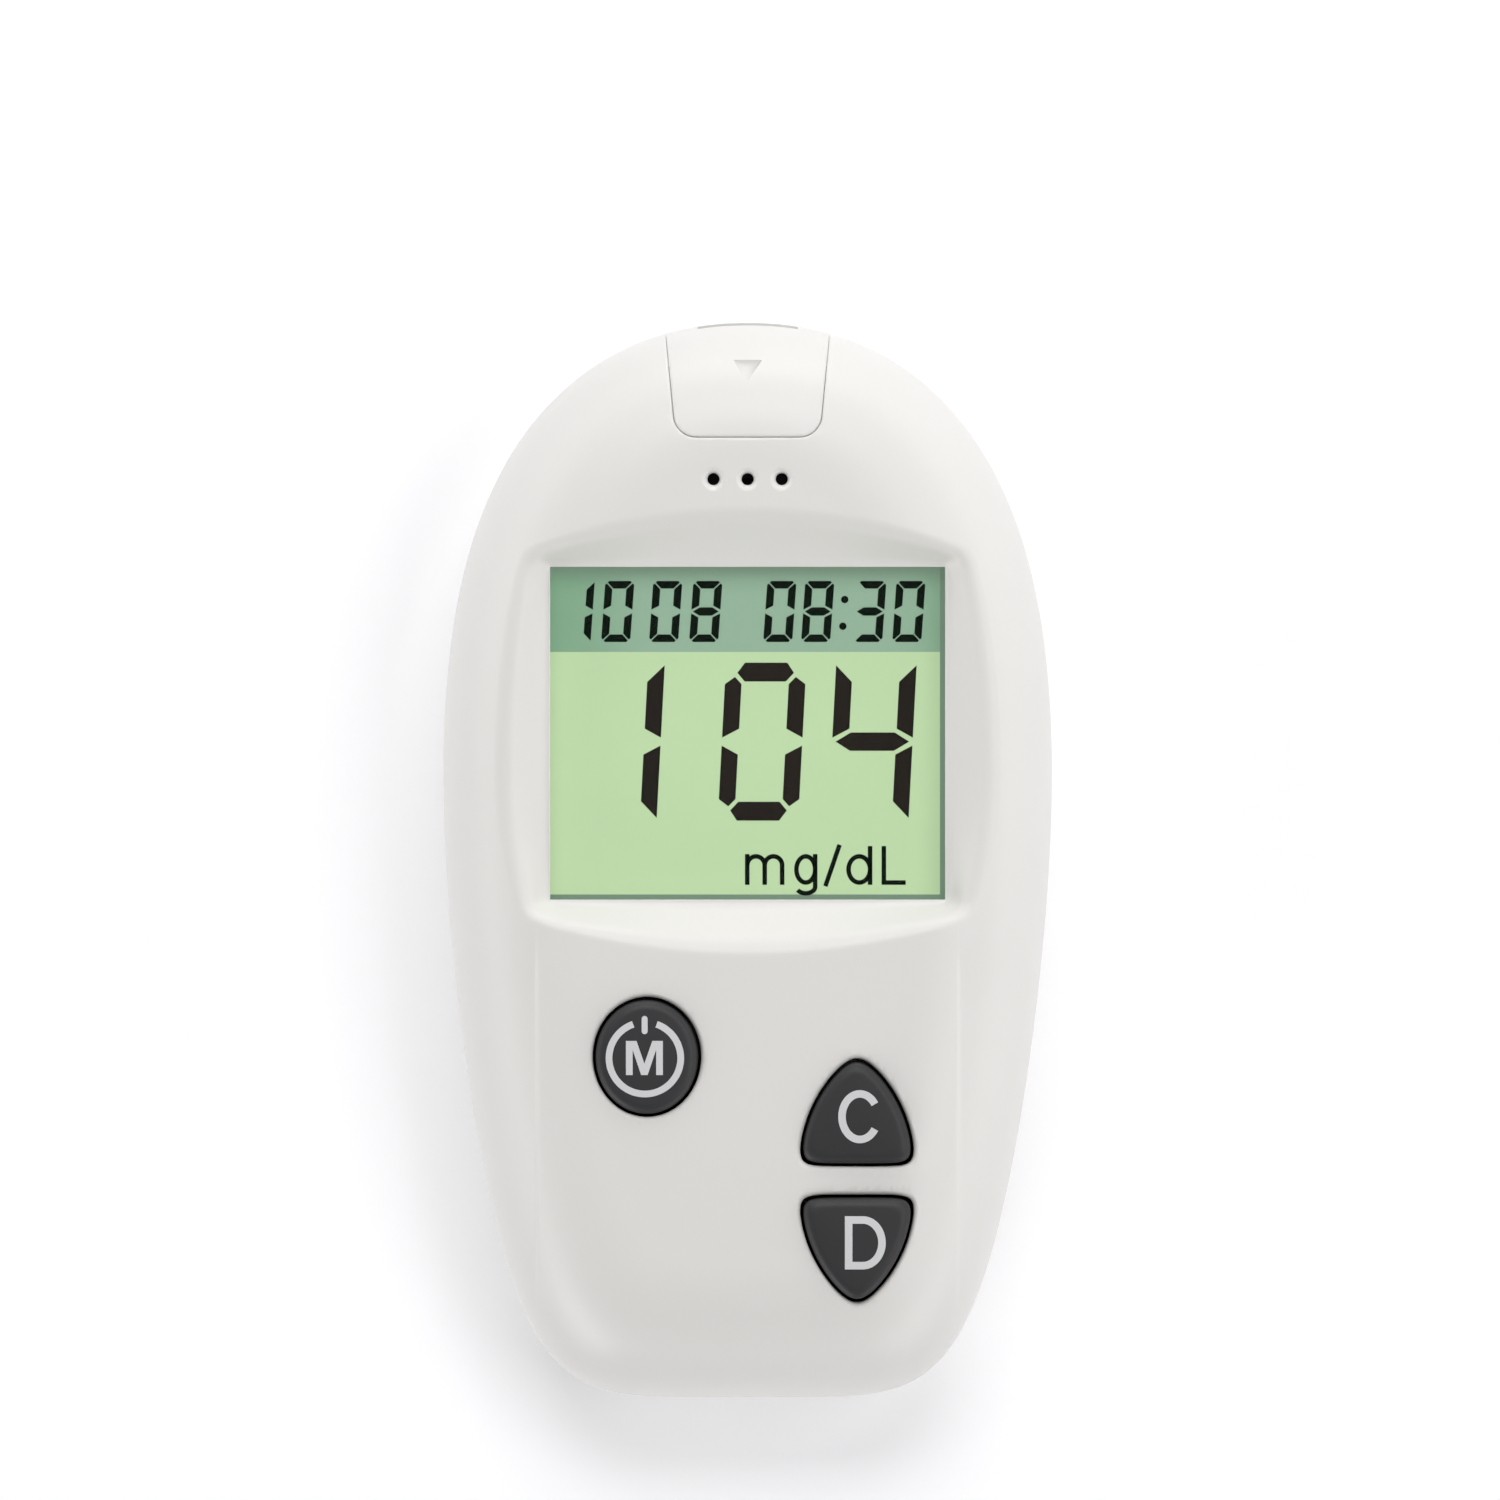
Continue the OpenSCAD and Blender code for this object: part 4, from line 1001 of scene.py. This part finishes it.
def principled(tree, base, roughness, **inputs):
    return add_node(tree, "ShaderNodeBsdfPrincipled", {"Base Color": base, "Roughness": roughness, **inputs})


def two_tone(tree, coords, low, high, size_mm):
    """Colour that drifts between two tones over patches of the given size"""
    return mix(tree, cloud(tree, coords, size_mm, 3.0), low, high)


def darker(rgba, share):
    return [c * share for c in rgba[:3]] + [1.0]


def grained(name, base, roughness, ior, grain_mm, bump, drift):
    """Moulded surface: colour that drifts a little, and grain that breaks up the shine"""
    def shader(tree, coords):
        tone = two_tone(tree, coords, darker(base, 1 - drift), darker(base, 1 + drift), 14.0)
        grain = cloud(tree, coords, grain_mm, 4.0)
        shine = spread(tree, grain, roughness - 0.04, roughness + 0.04, 0.3, 0.7)
        relief = add_node(tree, "ShaderNodeBump", {"Height": grain, "Strength": bump, "Distance": 0.02 * MM})
        return principled(tree, tone, shine, Normal=relief.outputs["Normal"], IOR=ior)
    return material_of(name, shader)


def moulded_abs(shape):
    """White ABS from a finely spark-eroded mould: a satin sheen with soft highlights and no sparkle"""
    return grained("moulded_abs", shape.scene.meter_finish.shell, 0.42, 1.54, 0.22, 0.12, 0.008)


def moulded_silicone(shape):
    """Dark silicone rubber, compression moulded: soft sheen on rounded edges, fine matt grain"""
    return grained("moulded_silicone", shape.scene.meter_finish.rubber, 0.46, 1.38, 0.16, 0.25, 0.06)


def printed_ink(shape):
    """Pale screen ink on rubber: flat, even and slightly dusty"""
    return grained("printed_ink", shape.scene.meter_finish.legend, 0.55, 1.5, 0.12, 0.2, 0.02)


def segment_ink(name, ink):
    """Switched-on liquid crystal under a film: near black, with no shine of its own"""
    return grained(name, ink, 0.5, 1.05, 0.3, 0.0, 0.05)


def polarizing_film(tree, coords, shape):
    """Dyed film over the display: even green, a blue-green band at the top with painted shade at its two
    ends and along its top edge, a dark strip along the right and bottom edges, and a painted glow that keeps
    it evenly bright though the real display has no backlight
    """
    finish = shape.scene.meter_finish
    place = add_node(tree, "ShaderNodeSeparateXYZ", {"Vector": coords})
    right, top = (shape.centre + shape.window) * MM
    bottom = (shape.centre[1] - shape.window[1]) * MM
    band_low = top - shape.band_height * MM
    edge, soft = 0.42 * MM, 0.02 * MM

    def step(axis, start, end):
        """Rises from 0 to 1 between two places along an axis"""
        return spread(tree, place.outputs[axis], 0.0, 1.0, start, end, interpolation_type="SMOOTHSTEP")
    green = mix(tree, cloud(tree, coords, 5.0, 2.0), darker(finish.cell, 0.985), darker(finish.cell, 1.015))
    # Painted shade: the band darkens towards both ends, where the window's side walls shade it.
    band = mix(tree, step("X", -right, -right + 9 * MM), finish.band_side, finish.band)
    band = mix(tree, step("X", right - 5 * MM, right + 3 * MM), band, finish.band_side)
    # Painted shade: the band darkens along its top edge, under the window's upper edge.
    band = mix(tree, step("Y", top - 1.3 * MM, top - 0.1 * MM), band, darker(finish.band, 0.75))
    body = mix(tree, step("Y", band_low - 0.03 * MM, band_low + 0.03 * MM), green, band)
    # Darker strip 0.42 mm wide along the right and bottom edges of the window.
    dark = darker(finish.band, 0.62)
    body = mix(tree, step("X", right - edge - soft, right - edge + soft), body, dark)
    body = mix(tree, step("Y", bottom + edge + soft, bottom + edge - soft), body, dark)
    # Painted glow: the diffuse colour is dimmed and most of the display's brightness comes from emission, so
    # it looks evenly lit whatever shade falls on it.
    dimmed_base = mix(tree, 1.0, body, (0.6, 0.6, 0.6, 1.0), blend_type="MULTIPLY")
    glow = {"Emission Color": body, "Emission Strength": finish.glow}
    return principled(tree, dimmed_base, 0.42, IOR=1.49, **glow)


def clear_acrylic(tree, coords):
    """Cast acrylic lens: all but invisible, with a faint hard reflection"""
    shine = spread(tree, cloud(tree, coords, 9.0, 2.0), 0.04, 0.09)
    return principled(tree, linear("#20261F"), shine, IOR=1.49, Alpha=0.07)


def plated_steel(tree, coords):
    """Nickel-plated steel, stamped: bright, with a fine rolled grain along it"""
    stretched = add_node(tree, "ShaderNodeMapping", {"Vector": coords, "Scale": (1.0, 0.08, 1.0)})
    rolled = cloud(tree, stretched.outputs["Vector"], 0.12, 3.0)
    tone = two_tone(tree, coords, linear("#B9BBBD"), linear("#CBCCCD"), 2.5)
    return principled(tree, tone, spread(tree, rolled, 0.2, 0.36), Metallic=1.0)


def gold_plate(tree, coords):
    """Thin gold on copper pads: soft yellow shine, a little uneven"""
    tone = two_tone(tree, coords, linear("#C99A3E"), linear("#E2BC66"), 0.8)
    return principled(tree, tone, 0.3, Metallic=1.0)


def solder_mask(tree, coords, mask):
    """Green lacquer over glass cloth and copper: glossy, with the weave just showing"""
    weave = add_node(tree, "ShaderNodeTexBrick", {
        "Vector": coords, "Scale": per_mm(1.0), "Mortar Size": 0.06, "Brick Width": 0.5, "Row Height": 0.5,
        "Color1": darker(mask, 0.9), "Color2": darker(mask, 1.1), "Mortar": darker(mask, 0.75)})
    tracks = add_node(tree, "ShaderNodeTexVoronoi", {
        "Vector": coords, "Scale": per_mm(3.0)}, distance="MANHATTAN")
    clear = spread(tree, tracks.outputs["Distance"], 0.0, 1.0, 0.28, 0.3)
    return principled(tree, mix(tree, clear, darker(mask, 1.5), weave.outputs["Color"]), 0.25, IOR=1.55)


def layered_silicone(tree, coords):
    """Elastomer connector: pink silicone with a stack of fine dark conducting layers"""
    # The real layers are 0.1 mm apart, drawn at 0.5 mm so that they show
    layers = add_node(tree, "ShaderNodeTexWave", {"Vector": coords, "Scale": per_mm(0.5) / 6.28})
    tone = mix(tree, layers.outputs["Fac"], linear("#2A2324"), linear("#D98FA0"))
    return principled(tree, tone, 0.6, IOR=1.43)


# Material, colour, roughness, IOR, grain in mm, bump and drift of colour, then the slot name and the nodes
PLAIN_FINISHES = [
    # Natural ABS: creamy and satin
    (("natural_abs", "#E4E0D6", 0.45, 1.54, 0.3, 0.1, 0.02), "frame_plastic", "lcd_frame"),
    # Epoxy moulding compound: charcoal with a dull, gritty skin
    (("moulding_compound", "#232427", 0.55, 1.55, 0.1, 0.4, 0.08), "dark_plastic",
     "strip_connector", "buzzer", "microcontroller", "battery_holder"),
    # Moulded silicone: mid grey and powdery
    (("matt_silicone", "#48484B", 0.65, 1.43, 0.15, 0.3, 0.05), "mat_rubber",
     "keypad_mat", "memory_skirt", "up_skirt", "down_skirt"),
    # Carbon-filled silicone: black and sooty
    (("carbon_silicone", "#161617", 0.7, 1.45, 0.08, 0.4, 0.1), "carbon",
     "memory_pill", "up_pill", "down_pill"),
    # Polished cell glass over the film: smooth and faintly green
    (("cell_glass", "#9DB78F", 0.1, 1.52, 3.0, 0.0, 0.03), "cell_glass", "lcd_glass"),
    # Embossed reflector film: silver grey with a fine shimmer
    (("reflector_foil", "#B4B8B4", 0.35, 1.5, 0.2, 0.2, 0.04), "film_silver", "lcd_reflector"),
    # Fired ceramic: tan, mottled and dry
    (("fired_ceramic", "#A98258", 0.5, 1.6, 0.3, 0.3, 0.15), "ceramic_parts", "board_components"),
]


def finish_inner_parts(shape):
    """Finishes of the nodes inside, which keep their packed shape"""
    finishes = [(grained(name, linear(code), *values), *rest)
                for (name, code, *values), *rest in PLAIN_FINISHES]
    finishes += [
        (material_of("solder_mask", solder_mask, shape.scene.meter_finish.mask), "board", "circuit_board"),
        (material_of("layered_silicone", layered_silicone), "zebra_rubber", "zebra_strips"),
        (material_of("gold_plate", gold_plate), "gold", "key_contacts", "strip_contacts"),
        (material_of("plated_steel", plated_steel), "steel",
         "case_screws", "crystal", "positive_contact", "negative_contact", "coin_cell"),
    ]
    for material, slot, *names in finishes:
        for name in names:
            paint(name, material)


def paint(name, material):
    """Finish of a node that keeps its packed shape"""
    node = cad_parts[name]
    node.data.materials.clear()
    node.data.materials.append(material)


# ---------- stage ----------

def soft_box(name, turn, height, power):
    """Soft box at a turn about the meter and an angle above the table"""
    away = 1.2
    lamp = bpy.data.lights.new(name, "AREA")
    lamp.shape = "RECTANGLE"
    lamp.size, lamp.size_y = 0.9, 0.45
    lamp.energy = power
    way = Vector((math.cos(turn) * math.cos(height), math.sin(turn) * math.cos(height), math.sin(height)))
    lamp_object = bpy.data.objects.new(name, lamp)
    lamp_object.location = way * away
    lamp_object.rotation_euler = way.to_track_quat("Z", "Y").to_euler()
    bpy.context.scene.collection.objects.link(lamp_object)


def white_to_the_eye(tree):
    """1 for the rays that see the backdrop: straight, in a reflection or through something clear"""
    path = add_node(tree, "ShaderNodeLightPath")
    seen = add_node(tree, "ShaderNodeMath", {
        0: path.outputs["Is Camera Ray"], 1: path.outputs["Is Glossy Ray"]}, operation="MAXIMUM")
    return add_node(tree, "ShaderNodeMath", {
        0: seen.outputs[0], 1: path.outputs["Is Transmission Ray"]}, operation="MAXIMUM").outputs[0]


def make_stage(shape):
    """Camera straight above the meter, even sky, ten soft boxes and the floor"""
    scene = shape.scene
    stage = scene.meter_stage
    camera = bpy.data.cameras.new("camera")
    camera.lens = stage.focal
    camera.sensor_width = 36
    camera.clip_start, camera.clip_end = 0.01, 20
    camera_object = bpy.data.objects.new("camera", camera)
    middle_height = 0.012  # of the meter's visible surfaces, where view_width holds
    away = stage.view_width * stage.focal / camera.sensor_width
    camera_object.location = (stage.aim_x, stage.aim_y, middle_height + away)
    scene.collection.objects.link(camera_object)
    scene.camera = camera_object
    scene.view_settings.view_transform = "Standard"

    world = scene.world or bpy.data.worlds.new("studio")
    scene.world = world
    world.use_nodes = True
    tree = world.node_tree
    tree.nodes.clear()
    strength = add_node(tree, "ShaderNodeMix", {
        "Factor": white_to_the_eye(tree), "A": stage.sky, "B": 1.0})
    sky = add_node(tree, "ShaderNodeBackground", {
        "Color": linear("#FDFDFE"), "Strength": strength.outputs["Result"]})
    add_node(tree, "ShaderNodeOutputWorld", {"Surface": sky.outputs[0]})

    for i, watts in enumerate(stage.low_ring):
        soft_box(f"low_{i}", i * math.pi / 4, stage.low_angle, watts)
    for i, watts in enumerate(stage.high_pair):
        soft_box(f"high_{i}", i * math.pi / 2, stage.high_angle, watts)

    half = 600
    floor = link("floor", [(-half, -half, 0), (half, -half, 0), (half, half, 0), (-half, half, 0)],
                 [(0, 1, 2, 3)])
    floor.data.materials.append(material_of("painted_board", painted_board, stage.floor))


def painted_board(tree, coords, floor_colour):
    """Matt painted board under the meter, lifted to white for the eye so that only the shadow shows"""
    tone = two_tone(tree, coords, darker(floor_colour, 0.99), floor_colour, 60.0)
    matt = add_node(tree, "ShaderNodeBsdfDiffuse", {"Color": tone})
    lift = add_node(tree, "ShaderNodeMath", {0: white_to_the_eye(tree), 1: 0.22}, operation="MULTIPLY")
    glow = add_node(tree, "ShaderNodeEmission", {"Color": floor_colour, "Strength": lift.outputs[0]})
    return add_node(tree, "ShaderNodeAddShader", {0: matt.outputs[0], 1: glow.outputs[0]})


# ---------- operators ----------

class MeterOperator:
    """What the operators share: each runs its make function on a fresh MeterShape"""
    bl_options = {"REGISTER", "UNDO"}

    def execute(self, context):
        self.make(MeterShape(context.scene))
        return {"FINISHED"}


class METER_OT_stage(MeterOperator, bpy.types.Operator):
    """Adds the camera, the soft light and the floor"""
    bl_idname = "meter.stage"
    bl_label = "Stage"
    make = staticmethod(make_stage)


class METER_OT_front_cover(MeterOperator, bpy.types.Operator):
    """Builds the front cover with its dished display recess and its holes"""
    bl_idname = "meter.front_cover"
    bl_label = "Front cover"
    make = staticmethod(make_front_cover)


class METER_OT_port_cover(MeterOperator, bpy.types.Operator):
    """Builds the cover over the test strip port"""
    bl_idname = "meter.port_cover"
    bl_label = "Port cover"
    make = staticmethod(make_port_cover)


class METER_OT_back_cover(MeterOperator, bpy.types.Operator):
    """Builds the back cover with its screw wells and door rails"""
    bl_idname = "meter.back_cover"
    bl_label = "Back cover"
    make = staticmethod(make_back_cover)


class METER_OT_battery_door(MeterOperator, bpy.types.Operator):
    """Builds the slide-off battery door"""
    bl_idname = "meter.battery_door"
    bl_label = "Battery door"
    make = staticmethod(make_battery_door)


class METER_OT_keys(MeterOperator, bpy.types.Operator):
    """Builds the three rubber keys and the print on them"""
    bl_idname = "meter.keys"
    bl_label = "Keys"
    make = staticmethod(make_keys)


class METER_OT_display(MeterOperator, bpy.types.Operator):
    """Finishes the display's film and lens and adds what it shows"""
    bl_idname = "meter.display"
    bl_label = "Display"
    make = staticmethod(make_display)


class METER_OT_inner_parts(MeterOperator, bpy.types.Operator):
    """Gives the parts inside the case their finishes"""
    bl_idname = "meter.inner_parts"
    bl_label = "Inner parts"
    make = staticmethod(finish_inner_parts)


OPERATORS = (METER_OT_stage, METER_OT_front_cover, METER_OT_port_cover, METER_OT_back_cover,
             METER_OT_battery_door, METER_OT_keys, METER_OT_display, METER_OT_inner_parts)


class METER_PT_panel(bpy.types.Panel):
    """Lists the meter's sizes, colours and pieces"""
    bl_idname = "METER_PT_panel"
    bl_label = "Blood glucose meter"
    bl_space_type = "VIEW_3D"
    bl_region_type = "UI"
    bl_category = "Meter"

    def draw(self, context):
        for name, group in GROUPS.items():
            box = self.layout.box()
            box.label(text=group.__doc__)
            for prop in group.__annotations__:
                box.prop(getattr(context.scene, name), prop)
        for operator in OPERATORS:
            self.layout.operator(operator.bl_idname)


def register():
    for group in GROUPS.values():
        bpy.utils.register_class(group)
    for name, group in GROUPS.items():
        setattr(bpy.types.Scene, name, bpy.props.PointerProperty(type=group))
    for operator in OPERATORS:
        bpy.utils.register_class(operator)
    bpy.utils.register_class(METER_PT_panel)


def unregister():
    bpy.utils.unregister_class(METER_PT_panel)
    for operator in reversed(OPERATORS):
        bpy.utils.unregister_class(operator)
    for name, group in reversed(GROUPS.items()):
        delattr(bpy.types.Scene, name)
        bpy.utils.unregister_class(group)


def main():
    register()
    for operator in OPERATORS:
        getattr(bpy.ops.meter, operator.bl_idname.split(".")[1])()


if __name__ == "__main__":
    main()
